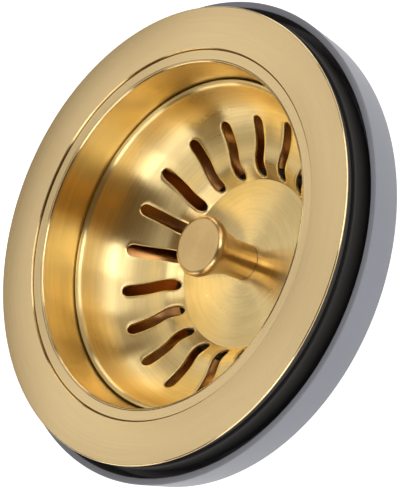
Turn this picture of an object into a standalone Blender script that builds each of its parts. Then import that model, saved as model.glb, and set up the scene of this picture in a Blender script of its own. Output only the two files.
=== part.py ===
"""Basket strainer waste for a kitchen sink.

A pressed flange and bowl, a plastic body that clamps it to the sink from below, and a lift-out
basket whose rubber stopper closes the drain. Metres, +Z up. The origin is the centre of the
outlet's lower end. Every outline is drawn as (radius, drop), where the drop is measured down
from the flange's face, and each piece stands at the height of that face.
"""

from math import asin, cos, hypot, pi, radians, sin, tau

import bmesh
import bpy

# Clearances that the pieces share
SEAT_GAP = 0.0003
HOLE_CLEARANCE = 0.0003
CUT_OVERRUN = 0.002
WELD_DISTANCE = 0.000001

# Fineness of round shapes
RING_SEGMENTS = 48
KNOB_SEGMENTS = 32
SMALL_SEGMENTS = 24
SLOT_END_STEPS = 5
ROUND_STEPS = 3
BOWL_STEPS = 5
GASKET_CORNER_STEPS = 3
SMOOTH_ANGLE = radians(32)

# Flange and bowl, one pressing
BOWL_RADIUS = 0.0420
LEDGE_WIDTH = 0.00328
FLANGE_WIDTH = 0.01072
BOWL_SHEET = 0.0010
FLANGE_EDGE_ROUND = 0.00035
STEP_DROP = 0.0005
STEP_SLOPE = 0.0001
BOWL_LIP_ROUND = 0.0011
BOWL_WALL_DROP = 0.0135
BOWL_TAPER = 0.0010
BOWL_FULLNESS_SHARE = 0.46
SEAT_MARGIN = 0.0016
SEAT_WIDTH = 0.0038
RECESS_SLOPE = 0.0009
RECESS_DEPTH = 0.0030
OPENING_MARGIN = 0.0010
ARM_COUNT = 4
ARM_WIDTH = 0.0044
DISH_SLOPE = 0.0010
DISH_RIM_LAND = 0.0008

# Seals against the sink
FLANGE_SEAL_THICKNESS = 0.0015
FLANGE_SEAL_INSET = 0.0011
GASKET_HEIGHT = 0.0086
GASKET_INSET = 0.0004
GASKET_CORNER_WIDTH = 0.0040
GASKET_CORNER_HEIGHT = 0.0060
GASKET_INNER_GAP = 0.0006

# Plastic body
RIM_MARGIN = 0.0014
RIM_LIP_WIDTH = 0.00165
RIM_TOP_DROP = 0.0062
RIM_TAPER = 0.00135
RIM_FLOOR_THICKNESS = 0.0033
RIM_EDGE_ROUND = 0.0003
BODY_WALL = 0.0022
BODY_GAP = 0.0010
THROAT_GAP = 0.0006
THROAT_TAPER = 0.0010
NECK_ROUND = 0.0012
SPIGOT_RADIUS = 0.0224
SPIGOT_WALL = 0.0020
SPIGOT_CHAMFER = 0.0008
RIB_COUNT = 12
RIB_THICKNESS = 0.0018
RIB_REACH_SHARE = 0.82
RIB_WALL_STEPS = 3
HUB_WALL = 0.0028
HUB_FLOOR = 0.0016
WEB_THICKNESS = 0.0024

# Clamp screw, its washer and its nut
SCREW_WALL = 0.0015
SCREW_HEAD_OVERHANG = 0.0022
SCREW_HEAD_HEIGHT = 0.0022
SCREW_HEAD_ROUND = 0.0006
SCREW_SLOT_WIDTH = 0.0018
SCREW_SLOT_DEPTH = 0.0010
SCREW_HEAD_SIDE_GAP = 0.0006
WASHER_THICKNESS = 0.0006
NUT_WALL = 0.0025
NUT_THICKNESS = 0.0028

# Catch pin and its ring
PIN_WALL = 0.0007
PIN_BORE_GAP = 0.0005
PIN_COLLAR_OVERHANG = 0.0020
PIN_COLLAR_HEIGHT = 0.0016
PIN_GROOVE_LAND = 0.0019
PIN_TIP_LENGTH = 0.0022
PIN_TIP_ROUND = 0.0012
PIN_HEAD_GAP = 0.0006
STUD_DEPTH_IN_PIN = 0.0040
CATCH_RING_THICKNESS = 0.0008
CATCH_RING_SIDES = 6

# Basket
RIM_GAP = 0.0012
BASKET_LIP_DROP = 0.0104
BASKET_LIP_LAND = 0.0003
BASKET_LIP_ROUND = 0.0012
BASKET_EDGE_ROUND = 0.0002
BASKET_SHEET = 0.0008
BASKET_FLOOR_RADIUS = 0.0211
BASKET_FLOOR_DROP = 0.0289
BASKET_FLOOR_CROWN = 0.0012
BASKET_STEPS_PER_STATION = 1
CROWN_STEPS = 3
SLOT_COUNT = 20
SLOT_WIDTH = 0.00285
SLOT_PHASE = radians(11.8)
SLOT_FLOOR_LAND = 0.0002

# Stations of the basket's side, from its lip to its floor: the first share is of the width
# between floor and wall, the second of the height between lip and floor
BASKET_SIDE_SHARES = (
    (1.000, 0.065),
    (0.989, 0.243),
    (0.934, 0.405),
    (0.852, 0.519),
    (0.764, 0.589),
    (0.681, 0.649),
    (0.560, 0.714),
    (0.412, 0.770),
    (0.247, 0.803),
    (0.192, 0.824),
    (0.115, 0.884),
    (0.000, 1.000),
)
SLOT_REACH_SHARE = 0.764

# Stopper under the basket
STOPPER_RADIUS = 0.0246
STOPPER_THICKNESS = 0.0030
STOPPER_BEVEL = 0.0006
PLATE_MARGIN = 0.0038
PLATE_THICKNESS = 0.0010
STUD_RADIUS = 0.0020
STUD_DEPTH_IN_KNOB = 0.0080

# Knob
KNOB_TOP_DROP = 0.0113
KNOB_HEAD_RADIUS = 0.0075
KNOB_STEM_RADIUS = 0.0045
KNOB_EDGE_ROUND = 0.0012
KNOB_HEAD_SIDE = 0.0008
KNOB_NECK_DROP = 0.0222
KNOB_BORE_EXTRA = 0.0005

# Stations of the knob's neck: the first share is of the head's overhang, the second of the
# height between the head's side and the straight stem
KNOB_NECK_SHARES = (
    (0.88, 0.10),
    (0.61, 0.30),
    (0.34, 0.55),
    (0.14, 0.80),
    (0.00, 1.00),
)

# Stack of the moving pieces and the screw, worked out downwards from the basket's floor
basket_underside = BASKET_FLOOR_DROP + BASKET_SHEET
knob_foot = BASKET_FLOOR_DROP - BASKET_FLOOR_CROWN - SEAT_GAP
stud_top = knob_foot - STUD_DEPTH_IN_KNOB
stopper_top = basket_underside + SEAT_GAP
stopper_bottom = stopper_top + STOPPER_THICKNESS
plate_top = stopper_bottom + SEAT_GAP
plate_bottom = plate_top + PLATE_THICKNESS
collar_top = plate_bottom + SEAT_GAP
collar_bottom = collar_top + PIN_COLLAR_HEIGHT
screw_head_top = collar_bottom + PIN_HEAD_GAP
screw_head_bottom = screw_head_top + SCREW_HEAD_HEIGHT
washer_top = screw_head_bottom + SEAT_GAP
washer_bottom = washer_top + WASHER_THICKNESS
dish_floor = washer_bottom + SEAT_GAP
hub_top = dish_floor + BOWL_SHEET + SEAT_GAP
nut_top = hub_top + HUB_FLOOR + SEAT_GAP
nut_bottom = nut_top + NUT_THICKNESS
outlet_end = nut_bottom + SEAT_GAP
FACE_HEIGHT = outlet_end

# Radii of the stud, the pin round it, the screw round the pin and the nut round the screw
stud_hole_radius = STUD_RADIUS + HOLE_CLEARANCE
pin_radius = stud_hole_radius + PIN_WALL
pin_collar_across_flats = 2 * (pin_radius + PIN_COLLAR_OVERHANG)
screw_bore_radius = pin_radius + PIN_BORE_GAP
screw_radius = screw_bore_radius + SCREW_WALL
screw_head_radius = screw_radius + SCREW_HEAD_OVERHANG
screw_hole_radius = screw_radius + HOLE_CLEARANCE
nut_across_flats = 2 * (screw_radius + NUT_WALL)

# Catch pin's bore, groove and tip
pin_bore_end = collar_top + STUD_DEPTH_IN_PIN + SEAT_GAP
groove_top = pin_bore_end + PIN_GROOVE_LAND
catch_ring_top = groove_top + SEAT_GAP
groove_bottom = catch_ring_top + CATCH_RING_THICKNESS + SEAT_GAP
catch_ring_outer = screw_bore_radius - SEAT_GAP
groove_radius = catch_ring_outer - CATCH_RING_THICKNESS - SEAT_GAP
pin_tip = groove_bottom + PIN_TIP_LENGTH

# Places of the bowl's seat, its recess and its dish
seat_drop = stopper_bottom + SEAT_GAP
seat_outer_radius = STOPPER_RADIUS + SEAT_MARGIN
seat_inner_radius = STOPPER_RADIUS - SEAT_WIDTH
recess_radius = seat_inner_radius - RECESS_SLOPE
recess_drop = seat_drop + RECESS_DEPTH
plate_radius = seat_inner_radius - PLATE_MARGIN
dish_radius = screw_head_radius + SCREW_HEAD_SIDE_GAP
dish_rim_radius = dish_radius + DISH_SLOPE
opening_inner_radius = dish_rim_radius + DISH_RIM_LAND
opening_outer_radius = recess_radius - OPENING_MARGIN

# Places of the flange, the basket and the body that follow the bowl
step_radius = BOWL_RADIUS + LEDGE_WIDTH
flange_radius = step_radius + FLANGE_WIDTH
basket_lip_radius = BOWL_RADIUS - RIM_GAP
basket_wall_radius = basket_lip_radius - BASKET_LIP_LAND - BASKET_LIP_ROUND
bowl_outer_radius = BOWL_RADIUS + BOWL_SHEET
gasket_top = BOWL_SHEET + SEAT_GAP + FLANGE_SEAL_THICKNESS + SEAT_GAP
gasket_bottom = gasket_top + GASKET_HEIGHT
cup_floor = gasket_bottom + SEAT_GAP
cup_underside = cup_floor + RIM_FLOOR_THICKNESS
cup_radius = flange_radius + RIM_MARGIN
rim_radius = cup_radius + RIM_LIP_WIDTH
body_neck_radius = recess_radius + BOWL_SHEET + THROAT_GAP
spigot_bore_radius = SPIGOT_RADIUS - SPIGOT_WALL
nut_room_across_flats = nut_across_flats + 2 * HOLE_CLEARANCE
hub_radius = nut_room_across_flats / 2 + HUB_WALL


def arc(centre, radii, start, end, steps):
    """Points of an elliptical arc in (radius, drop), turning from start to end."""
    points = []
    for step in range(steps + 1):
        angle = start + (end - start) * step / steps
        points.append((centre[0] + radii[0] * cos(angle), centre[1] + radii[1] * sin(angle)))
    return points


def bezier(start, start_handle, end_handle, end, steps):
    """Points of a cubic curve in (radius, drop)."""
    points = []
    for step in range(steps + 1):
        t = step / steps
        weights = ((1 - t) ** 3, 3 * t * (1 - t) ** 2, 3 * t * t * (1 - t), t ** 3)
        corners = (start, start_handle, end_handle, end)
        points.append(tuple(sum(w * c[axis] for w, c in zip(weights, corners)) for axis in (0, 1)))
    return points


def smooth_through(stations, steps):
    """Points of a smooth curve that passes through every station."""
    ends = [stations[0]] + list(stations) + [stations[-1]]
    points = []
    for before, start, end, after in zip(ends, ends[1:], ends[2:], ends[3:]):
        for step in range(steps):
            t = step / steps
            point = []
            for axis in (0, 1):
                rise = (end[axis] - before[axis]) / 2
                fall = (after[axis] - start[axis]) / 2
                span = end[axis] - start[axis]
                bend = 3 * span - 2 * rise - fall
                twist = rise + fall - 2 * span
                point.append(start[axis] + rise * t + bend * t * t + twist * t ** 3)
            points.append(tuple(point))
    points.append(tuple(stations[-1]))
    return points


def offset(path, distance):
    """The path moved sideways, to the outside of a sheet whose upper face it draws."""
    moved = []
    for index, point in enumerate(path):
        normals = []
        for first, second in ((index - 1, index), (index, index + 1)):
            if first >= 0 and second < len(path):
                along = (path[second][0] - path[first][0], path[second][1] - path[first][1])
                length = hypot(*along)
                normals.append((along[1] / length, -along[0] / length))
        mean = [sum(normal[axis] for normal in normals) / len(normals) for axis in (0, 1)]
        square = mean[0] ** 2 + mean[1] ** 2
        moved.append((point[0] + distance * mean[0] / square, point[1] + distance * mean[1] / square))
    return moved


def link(name, mesh, material=None):
    """Put a mesh into the scene, at the height of the flange's face."""
    piece = bpy.data.objects.new(name, mesh)
    bpy.context.scene.collection.objects.link(piece)
    piece.location.z = FACE_HEIGHT
    if material:
        mesh.materials.append(material)
    return piece


def mesh_from(name, bm):
    """Turn edited geometry into a smooth-shaded mesh with its faces pointing out."""
    bmesh.ops.remove_doubles(bm, verts=bm.verts, dist=WELD_DISTANCE)
    bmesh.ops.recalc_face_normals(bm, faces=bm.faces)
    mesh = bpy.data.meshes.new(name)
    bm.to_mesh(mesh)
    bm.free()
    mesh.shade_smooth()
    mesh.set_sharp_from_angle(angle=SMOOTH_ANGLE)
    return mesh


def turned(name, outline, segments, material=None):
    """Revolve an outline about the Z axis. An outline that starts on the axis is left open."""
    bm = bmesh.new()
    corners = [bm.verts.new((radius, 0, -drop)) for radius, drop in outline]
    pairs = list(zip(corners, corners[1:]))
    if outline[0][0] > 0:
        pairs.append((corners[-1], corners[0]))
    edges = [bm.edges.new(pair) for pair in pairs]
    bmesh.ops.spin(
        bm,
        geom=corners + edges,
        cent=(0, 0, 0),
        axis=(0, 0, 1),
        angle=tau,
        steps=segments,
        use_merge=True,
    )
    return link(name, mesh_from(name, bm), material)


def prisms(name, outlines, top, bottom, material=None):
    """Raise each closed (x, y) outline into an upright prism between two drops."""
    bm = bmesh.new()
    for outline in outlines:
        floor = bm.faces.new([bm.verts.new((x, y, -bottom)) for x, y in outline])
        raised = bmesh.ops.extrude_face_region(bm, geom=[floor])["geom"]
        upper = [item for item in raised if isinstance(item, bmesh.types.BMVert)]
        bmesh.ops.translate(bm, verts=upper, vec=(0, 0, bottom - top))
    return link(name, mesh_from(name, bm), material)


def combine(piece, tool, operation):
    """Cut a tool out of a piece, or join it on, and hide the tool."""
    modifier = piece.modifiers.new(tool.name, "BOOLEAN")
    modifier.operation = operation
    modifier.object = tool
    tool.hide_render = True
    tool.display_type = "WIRE"
    tool.parent = piece
    tool.location.z = 0


def finish(name, colour, roughness, metallic):
    """A plain material with the colour and gloss of one finish."""
    material = bpy.data.materials.new(name)
    material.use_nodes = True
    shader = material.node_tree.nodes["Principled BSDF"]
    shader.inputs["Base Color"].default_value = (*colour, 1)
    shader.inputs["Roughness"].default_value = roughness
    shader.inputs["Metallic"].default_value = metallic
    return material


def turn_point(x, y, angle):
    """A point of a plan turned about the axis."""
    return (x * cos(angle) - y * sin(angle), x * sin(angle) + y * cos(angle))


def circle_plan(radius, segments):
    """A round plan centred on the axis."""
    return [turn_point(radius, 0, tau * step / segments) for step in range(segments)]


def hexagon_plan(across_flats):
    """A hexagonal plan centred on the axis."""
    return circle_plan(across_flats / 2 / cos(pi / 6), 6)


def slot_plan(inner, outer, width, angle):
    """A round-ended slot that runs out from the axis."""
    half = width / 2
    points = []
    for centre, first in ((outer - half, -pi / 2), (inner + half, pi / 2)):
        for step in range(SLOT_END_STEPS + 1):
            around = first + pi * step / SLOT_END_STEPS
            points.append(turn_point(centre + half * cos(around), half * sin(around), angle))
    return points


def bar_plan(inner, outer, width, angle):
    """A straight bar that runs out from the axis."""
    half = width / 2
    corners = ((inner, -half), (outer, -half), (outer, half), (inner, half))
    return [turn_point(x, y, angle) for x, y in corners]


def sector_plan(inner, outer, arm, count, index):
    """The opening between two parallel-sided arms of a ring of arms."""
    start = tau * index / count
    steps = RING_SEGMENTS // count - 2
    points = []
    for radius, order in ((outer, 1), (inner, -1)):
        inset = asin(arm / 2 / radius)
        run = [inset + (tau / count - 2 * inset) * step / steps for step in range(steps + 1)]
        points += [turn_point(radius, 0, start + angle) for angle in run[::order]]
    return points


def bowl_side():
    """The bowl's inner face from its tapered wall to the outer edge of its seat."""
    start = (BOWL_RADIUS - BOWL_TAPER, BOWL_WALL_DROP)
    end = (seat_outer_radius, seat_drop)
    reach = (end[1] - start[1]) * BOWL_FULLNESS_SHARE
    slope = BOWL_TAPER / (BOWL_WALL_DROP - STEP_DROP - BOWL_LIP_ROUND)
    start_handle = (start[0] - reach * slope, start[1] + reach)
    end_handle = (end[0] + (start[0] - end[0]) * BOWL_FULLNESS_SHARE, end[1])
    return bezier(start, start_handle, end_handle, end, BOWL_STEPS)


def make_flange_bowl(material):
    """The flange, the bowl and the hub that holds the clamp screw, pressed from one sheet."""
    ledge_start = step_radius - STEP_SLOPE
    roll_centre = (BOWL_RADIUS + BOWL_LIP_ROUND, STEP_DROP + BOWL_LIP_ROUND)
    face = [
        (flange_radius - FLANGE_EDGE_ROUND, 0),
        (step_radius + STEP_SLOPE, 0),
        (ledge_start, STEP_DROP),
    ]
    face += arc(roll_centre, (BOWL_LIP_ROUND, BOWL_LIP_ROUND), -pi / 2, -pi, ROUND_STEPS)
    face += bowl_side()
    face += [
        (seat_inner_radius, seat_drop),
        (recess_radius, recess_drop),
        (dish_rim_radius, recess_drop),
        (dish_radius, dish_floor),
        (screw_hole_radius, dish_floor),
    ]
    edge = [
        (flange_radius, BOWL_SHEET - FLANGE_EDGE_ROUND),
        (flange_radius, FLANGE_EDGE_ROUND),
    ]
    outline = edge + face + offset(face, BOWL_SHEET)[::-1]
    piece = turned("flange_bowl", outline, RING_SEGMENTS, material)
    plans = [
        sector_plan(opening_inner_radius, opening_outer_radius, ARM_WIDTH, ARM_COUNT, index)
        for index in range(ARM_COUNT)
    ]
    top = recess_drop - CUT_OVERRUN
    bottom = recess_drop + BOWL_SHEET + CUT_OVERRUN
    combine(piece, prisms("bowl_openings", plans, top, bottom), "DIFFERENCE")
    return piece


def make_flange_seal(material):
    """The thin washer under the flange, which seals on the sink's upper face."""
    top = BOWL_SHEET + SEAT_GAP
    bottom = top + FLANGE_SEAL_THICKNESS
    outer = flange_radius - FLANGE_SEAL_INSET
    inner = step_radius + STEP_SLOPE + BOWL_SHEET + SEAT_GAP
    outline = [(outer, top), (outer, bottom), (inner, bottom), (inner, top)]
    return turned("flange_seal", outline, RING_SEGMENTS, material)


def make_body_gasket(material):
    """The thick rubber ring in the body's cup, which seals on the sink's lower face."""
    outer = flange_radius - GASKET_INSET
    inner = bowl_outer_radius + GASKET_INNER_GAP
    corner = (outer - GASKET_CORNER_WIDTH, gasket_bottom - GASKET_CORNER_HEIGHT)
    outline = [(outer, gasket_top)]
    outline += arc(corner, (GASKET_CORNER_WIDTH, GASKET_CORNER_HEIGHT), 0, pi / 2, GASKET_CORNER_STEPS)
    outline += [(inner, gasket_bottom), (inner, gasket_top)]
    return turned("body_gasket", outline, RING_SEGMENTS, material)


def make_drain_body(material):
    """The plastic body: a cup for the gasket, a bowl round the pressed one, and the outlet."""
    inner_side = offset(bowl_side(), BOWL_SHEET + BODY_GAP)
    outer_side = offset(inner_side, BODY_WALL)
    neck_drop = recess_drop + BOWL_SHEET + THROAT_GAP
    neck_outer = body_neck_radius + BODY_WALL
    taper_at_floor = RIM_TAPER * (cup_floor - RIM_TOP_DROP) / (cup_underside - RIM_TOP_DROP)
    outline = [
        (rim_radius - RIM_EDGE_ROUND, RIM_TOP_DROP),
        (rim_radius, RIM_TOP_DROP + RIM_EDGE_ROUND),
        (rim_radius - RIM_TAPER, cup_underside - RIM_EDGE_ROUND),
        (rim_radius - RIM_TAPER - RIM_EDGE_ROUND, cup_underside),
        (outer_side[0][0], cup_underside),
    ]
    outline += [point for point in outer_side if point[1] > cup_underside]
    outline += [
        (neck_outer + NECK_ROUND, outer_side[-1][1]),
        (neck_outer, outer_side[-1][1] + NECK_ROUND),
        (neck_outer, neck_drop),
        (SPIGOT_RADIUS, neck_drop + THROAT_TAPER),
        (SPIGOT_RADIUS, outlet_end - SPIGOT_CHAMFER),
        (SPIGOT_RADIUS - SPIGOT_CHAMFER, outlet_end),
        (spigot_bore_radius, outlet_end),
        (spigot_bore_radius, neck_drop + THROAT_TAPER),
        (body_neck_radius, neck_drop),
        (body_neck_radius, inner_side[-1][1] + NECK_ROUND),
        (body_neck_radius + NECK_ROUND, inner_side[-1][1]),
    ]
    outline += [point for point in inner_side[::-1] if point[1] > cup_floor]
    outline += [
        (inner_side[0][0], cup_floor),
        (cup_radius - taper_at_floor, cup_floor),
        (cup_radius, RIM_TOP_DROP),
    ]
    piece = turned("drain_body", outline, RING_SEGMENTS, material)
    nut_plan = hexagon_plan(nut_room_across_flats)
    hole_plan = circle_plan(screw_hole_radius, SMALL_SEGMENTS)
    cut_end = outlet_end + CUT_OVERRUN
    nut_pocket = prisms("nut_pocket", [nut_plan], nut_top - SEAT_GAP, cut_end)
    screw_hole = prisms("screw_hole", [hole_plan], hub_top - CUT_OVERRUN, cut_end)
    combine(piece, body_ribs(inner_side), "UNION")
    combine(piece, body_hub(), "UNION")
    combine(piece, nut_pocket, "DIFFERENCE")
    combine(piece, screw_hole, "DIFFERENCE")
    return piece


def body_ribs(inner_side):
    """Gussets that carry the cup and run down the middle of the body's wall."""
    root = offset(inner_side, BODY_WALL / 2)
    wall_radius = root[0][0]
    tip = wall_radius + (rim_radius - RIM_TAPER - wall_radius) * RIB_REACH_SHARE
    top = cup_underside - RIM_FLOOR_THICKNESS / 2
    profile = [(wall_radius, top), (tip, top), (tip, cup_underside)]
    profile += [point for point in root[RIB_WALL_STEPS::-1] if point[1] > cup_underside]
    bm = bmesh.new()
    for index in range(RIB_COUNT):
        angle = tau * (index + 1 / 2) / RIB_COUNT
        sides = []
        for half in (-RIB_THICKNESS / 2, RIB_THICKNESS / 2):
            places = [(*turn_point(radius, half, angle), -drop) for radius, drop in profile]
            sides.append([bm.verts.new(place) for place in places])
            bm.faces.new(sides[-1])
        bmesh.ops.bridge_loops(bm, edges=[edge for side in sides for edge in loop_edges(side)])
    return link("body_ribs", mesh_from("body_ribs", bm))


def loop_edges(corners):
    """The edges that join each corner of a face to the next."""
    pairs = zip(corners, corners[1:] + corners[:1])
    return [edge for first, second in pairs for edge in first.link_edges if second in edge.verts]


def body_hub():
    """The boss that holds the nut, on webs that cross the outlet."""
    hub = prisms("body_hub", [circle_plan(hub_radius, KNOB_SEGMENTS)], hub_top, outlet_end)
    reach = SPIGOT_RADIUS - SPIGOT_WALL / 2
    bottom = outlet_end - SPIGOT_CHAMFER
    for name, angle in (("web_across", 0), ("web_along", pi / 2)):
        web_plan = bar_plan(-reach, reach, WEB_THICKNESS, angle)
        combine(hub, prisms(name, [web_plan], hub_top, bottom), "UNION")
    return hub


def make_insert_nut(material):
    """The brass hexagon nut in the body's hub."""
    piece = prisms("insert_nut", [hexagon_plan(nut_across_flats)], nut_top, nut_bottom, material)
    hole = circle_plan(screw_hole_radius, SMALL_SEGMENTS)
    cutter = prisms("nut_hole", [hole], nut_top - CUT_OVERRUN, nut_bottom + CUT_OVERRUN)
    combine(piece, cutter, "DIFFERENCE")
    return piece


def make_screw_washer(material):
    """The flat washer under the clamp screw's head."""
    outline = [
        (screw_head_radius, washer_top),
        (screw_head_radius, washer_bottom),
        (screw_hole_radius, washer_bottom),
        (screw_hole_radius, washer_top),
    ]
    return turned("screw_washer", outline, SMALL_SEGMENTS, material)


def make_clamp_screw(material):
    """The hollow screw that pulls the body up and takes the catch pin in its bore."""
    outline = [
        (screw_head_radius - SCREW_HEAD_ROUND, screw_head_top),
        (screw_head_radius, screw_head_top + SCREW_HEAD_ROUND),
        (screw_head_radius, screw_head_bottom),
        (screw_radius, screw_head_bottom),
        (screw_radius, nut_bottom),
        (screw_bore_radius, nut_bottom),
        (screw_bore_radius, screw_head_top),
    ]
    piece = turned("clamp_screw", outline, SMALL_SEGMENTS, material)
    reach = screw_head_radius + CUT_OVERRUN
    plan = bar_plan(-reach, reach, SCREW_SLOT_WIDTH, pi / 4)
    top = screw_head_top - CUT_OVERRUN
    slot = prisms("screw_slot", [plan], top, screw_head_top + SCREW_SLOT_DEPTH)
    combine(piece, slot, "DIFFERENCE")
    return piece


def make_catch_pin(material):
    """The pin under the stopper: a hexagon collar, a groove for its ring and a round tip."""
    root = collar_top + PIN_COLLAR_HEIGHT / 2
    outline = [
        (0, root),
        (pin_radius, root),
        (pin_radius, groove_top),
        (groove_radius, groove_top),
        (groove_radius, groove_bottom),
        (pin_radius, groove_bottom),
        (pin_radius, pin_tip - PIN_TIP_ROUND),
        (pin_radius - PIN_TIP_ROUND, pin_tip),
        (0, pin_tip),
    ]
    piece = turned("catch_pin", outline, SMALL_SEGMENTS, material)
    collar_plan = hexagon_plan(pin_collar_across_flats)
    bore_plan = circle_plan(stud_hole_radius, SMALL_SEGMENTS)
    collar = prisms("pin_collar", [collar_plan], collar_top, collar_bottom)
    bore = prisms("pin_bore", [bore_plan], collar_top - CUT_OVERRUN, pin_bore_end)
    combine(piece, collar, "UNION")
    combine(piece, bore, "DIFFERENCE")
    return piece


def make_catch_ring(material):
    """The small rubber ring that grips the clamp screw's bore."""
    half = CATCH_RING_THICKNESS / 2
    centre = (catch_ring_outer - half, catch_ring_top + half)
    outline = arc(centre, (half, half), 0, tau, CATCH_RING_SIDES)[:-1]
    return turned("catch_ring", outline, SMALL_SEGMENTS, material)


def make_knob_stud(material):
    """The threaded stud that joins the knob, the basket and the stopper."""
    bottom = collar_top + STUD_DEPTH_IN_PIN
    outline = [(0, stud_top), (STUD_RADIUS, stud_top), (STUD_RADIUS, bottom), (0, bottom)]
    return turned("knob_stud", outline, SMALL_SEGMENTS, material)


def make_backing_plate(material):
    """The steel plate that presses the rubber stopper against the basket."""
    outline = [
        (plate_radius, plate_top),
        (plate_radius, plate_bottom),
        (stud_hole_radius, plate_bottom),
        (stud_hole_radius, plate_top),
    ]
    return turned("backing_plate", outline, RING_SEGMENTS, material)


def make_stopper_seal(material):
    """The rubber disc that closes the drain."""
    outline = [
        (STOPPER_RADIUS - STOPPER_BEVEL, stopper_top),
        (STOPPER_RADIUS, stopper_top + STOPPER_BEVEL),
        (STOPPER_RADIUS, stopper_bottom - STOPPER_BEVEL),
        (STOPPER_RADIUS - STOPPER_BEVEL, stopper_bottom),
        (stud_hole_radius, stopper_bottom),
        (stud_hole_radius, stopper_top),
    ]
    return turned("stopper_seal", outline, RING_SEGMENTS, material)


def basket_side():
    """The basket's inner face from below its lip to the edge of its floor."""
    width = basket_wall_radius - BASKET_FLOOR_RADIUS
    height = BASKET_FLOOR_DROP - BASKET_LIP_DROP
    stations = [
        (BASKET_FLOOR_RADIUS + width * across, BASKET_LIP_DROP + height * down)
        for across, down in BASKET_SIDE_SHARES
    ]
    return smooth_through(stations, BASKET_STEPS_PER_STATION)


def basket_floor():
    """The basket's floor, slightly crowned, from inside its edge to the stud's hole."""
    points = []
    for step in range(1, CROWN_STEPS + 1):
        share = step / CROWN_STEPS
        radius = BASKET_FLOOR_RADIUS + (stud_hole_radius - BASKET_FLOOR_RADIUS) * share
        crown = BASKET_FLOOR_CROWN * (1 - (1 - share) ** 2)
        points.append((radius, BASKET_FLOOR_DROP - crown))
    return points


def make_basket(material):
    """The pressed strainer basket with its ring of slots."""
    roll_centre = (basket_wall_radius + BASKET_LIP_ROUND, BASKET_LIP_DROP + BASKET_LIP_ROUND)
    face = [(basket_lip_radius - BASKET_EDGE_ROUND, BASKET_LIP_DROP)]
    face += arc(roll_centre, (BASKET_LIP_ROUND, BASKET_LIP_ROUND), -pi / 2, -pi, ROUND_STEPS)[:-1]
    face += basket_side()
    face += basket_floor()
    edge = [
        (basket_lip_radius, BASKET_LIP_DROP + BASKET_SHEET - BASKET_EDGE_ROUND),
        (basket_lip_radius, BASKET_LIP_DROP + BASKET_EDGE_ROUND),
    ]
    outline = edge + face + offset(face, BASKET_SHEET)[::-1]
    piece = turned("basket", outline, RING_SEGMENTS, material)
    inner = BASKET_FLOOR_RADIUS + SLOT_FLOOR_LAND
    outer = BASKET_FLOOR_RADIUS + (basket_wall_radius - BASKET_FLOOR_RADIUS) * SLOT_REACH_SHARE
    plans = [
        slot_plan(inner, outer, SLOT_WIDTH, SLOT_PHASE + tau * index / SLOT_COUNT)
        for index in range(SLOT_COUNT)
    ]
    top = BASKET_LIP_DROP + BASKET_LIP_ROUND
    cutter = prisms("basket_slots", plans, top, basket_underside + CUT_OVERRUN)
    combine(piece, cutter, "DIFFERENCE")
    return piece


def make_knob(material):
    """The turned knob, bored from below for its stud."""
    head_side_end = KNOB_TOP_DROP + KNOB_EDGE_ROUND + KNOB_HEAD_SIDE
    overhang = KNOB_HEAD_RADIUS - KNOB_STEM_RADIUS
    neck_height = KNOB_NECK_DROP - head_side_end
    bore_end = stud_top - KNOB_BORE_EXTRA
    edge_centre = (KNOB_HEAD_RADIUS - KNOB_EDGE_ROUND, KNOB_TOP_DROP + KNOB_EDGE_ROUND)
    outline = [(0, KNOB_TOP_DROP)]
    outline += arc(edge_centre, (KNOB_EDGE_ROUND, KNOB_EDGE_ROUND), -pi / 2, 0, ROUND_STEPS)
    outline += [(KNOB_HEAD_RADIUS, head_side_end)]
    outline += [
        (KNOB_STEM_RADIUS + overhang * across, head_side_end + neck_height * down)
        for across, down in KNOB_NECK_SHARES
    ]
    outline += [
        (KNOB_STEM_RADIUS, knob_foot),
        (stud_hole_radius, knob_foot),
        (stud_hole_radius, bore_end),
        (0, bore_end),
    ]
    return turned("knob", outline, KNOB_SEGMENTS, material)


def make_axis(name, parent=None):
    """An empty on the drain's axis, which carries the pieces that move together."""
    axis = bpy.data.objects.new(name, None)
    bpy.context.scene.collection.objects.link(axis)
    if parent:
        axis.parent = parent
    else:
        axis.location.z = FACE_HEIGHT
    return axis


def carry(axis, pieces):
    """Hang pieces on an axis, with their places kept."""
    for piece in pieces:
        piece.parent = axis
        piece.location.z = 0


def clear_scene():
    """Remove whatever the scene holds."""
    for item in list(bpy.data.objects):
        bpy.data.objects.remove(item, do_unlink=True)


def main():
    """Build every piece, fixed ones first."""
    clear_scene()
    gold = finish("brushed_gold", (0.61, 0.46, 0.23), 0.34, 1.0)
    rubber = finish("black_rubber", (0.022, 0.021, 0.020), 0.55, 0.0)
    plastic = finish("grey_plastic", (0.24, 0.24, 0.27), 0.45, 0.0)
    steel = finish("plain_steel", (0.62, 0.62, 0.60), 0.30, 1.0)
    brass = finish("yellow_brass", (0.60, 0.45, 0.18), 0.35, 1.0)

    make_flange_bowl(gold)
    make_flange_seal(rubber)
    make_body_gasket(rubber)
    make_drain_body(plastic)
    make_insert_nut(brass)
    make_screw_washer(steel)
    make_clamp_screw(steel)

    lift_axis = make_axis("lift_axis")
    carry(lift_axis, [make_catch_pin(steel), make_catch_ring(rubber)])
    turn_axis = make_axis("turn_axis", lift_axis)
    basket_pieces = [
        make_knob_stud(steel),
        make_backing_plate(steel),
        make_stopper_seal(rubber),
        make_basket(gold),
        make_knob(gold),
    ]
    carry(turn_axis, basket_pieces)


main()
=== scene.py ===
"""Basket strainer waste for a kitchen sink, with its finished surfaces.

Every piece is drawn as an outline of (radius, drop), where the drop is measured down from the
flange's face, and is spun about the drain's axis. Metres, +Z up.
"""
from math import atan2, ceil, cos, hypot, pi, radians, sin, tan, tau

import bpy
from bpy.props import FloatProperty, FloatVectorProperty, IntProperty, PointerProperty
from mathutils import Matrix, Vector


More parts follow.
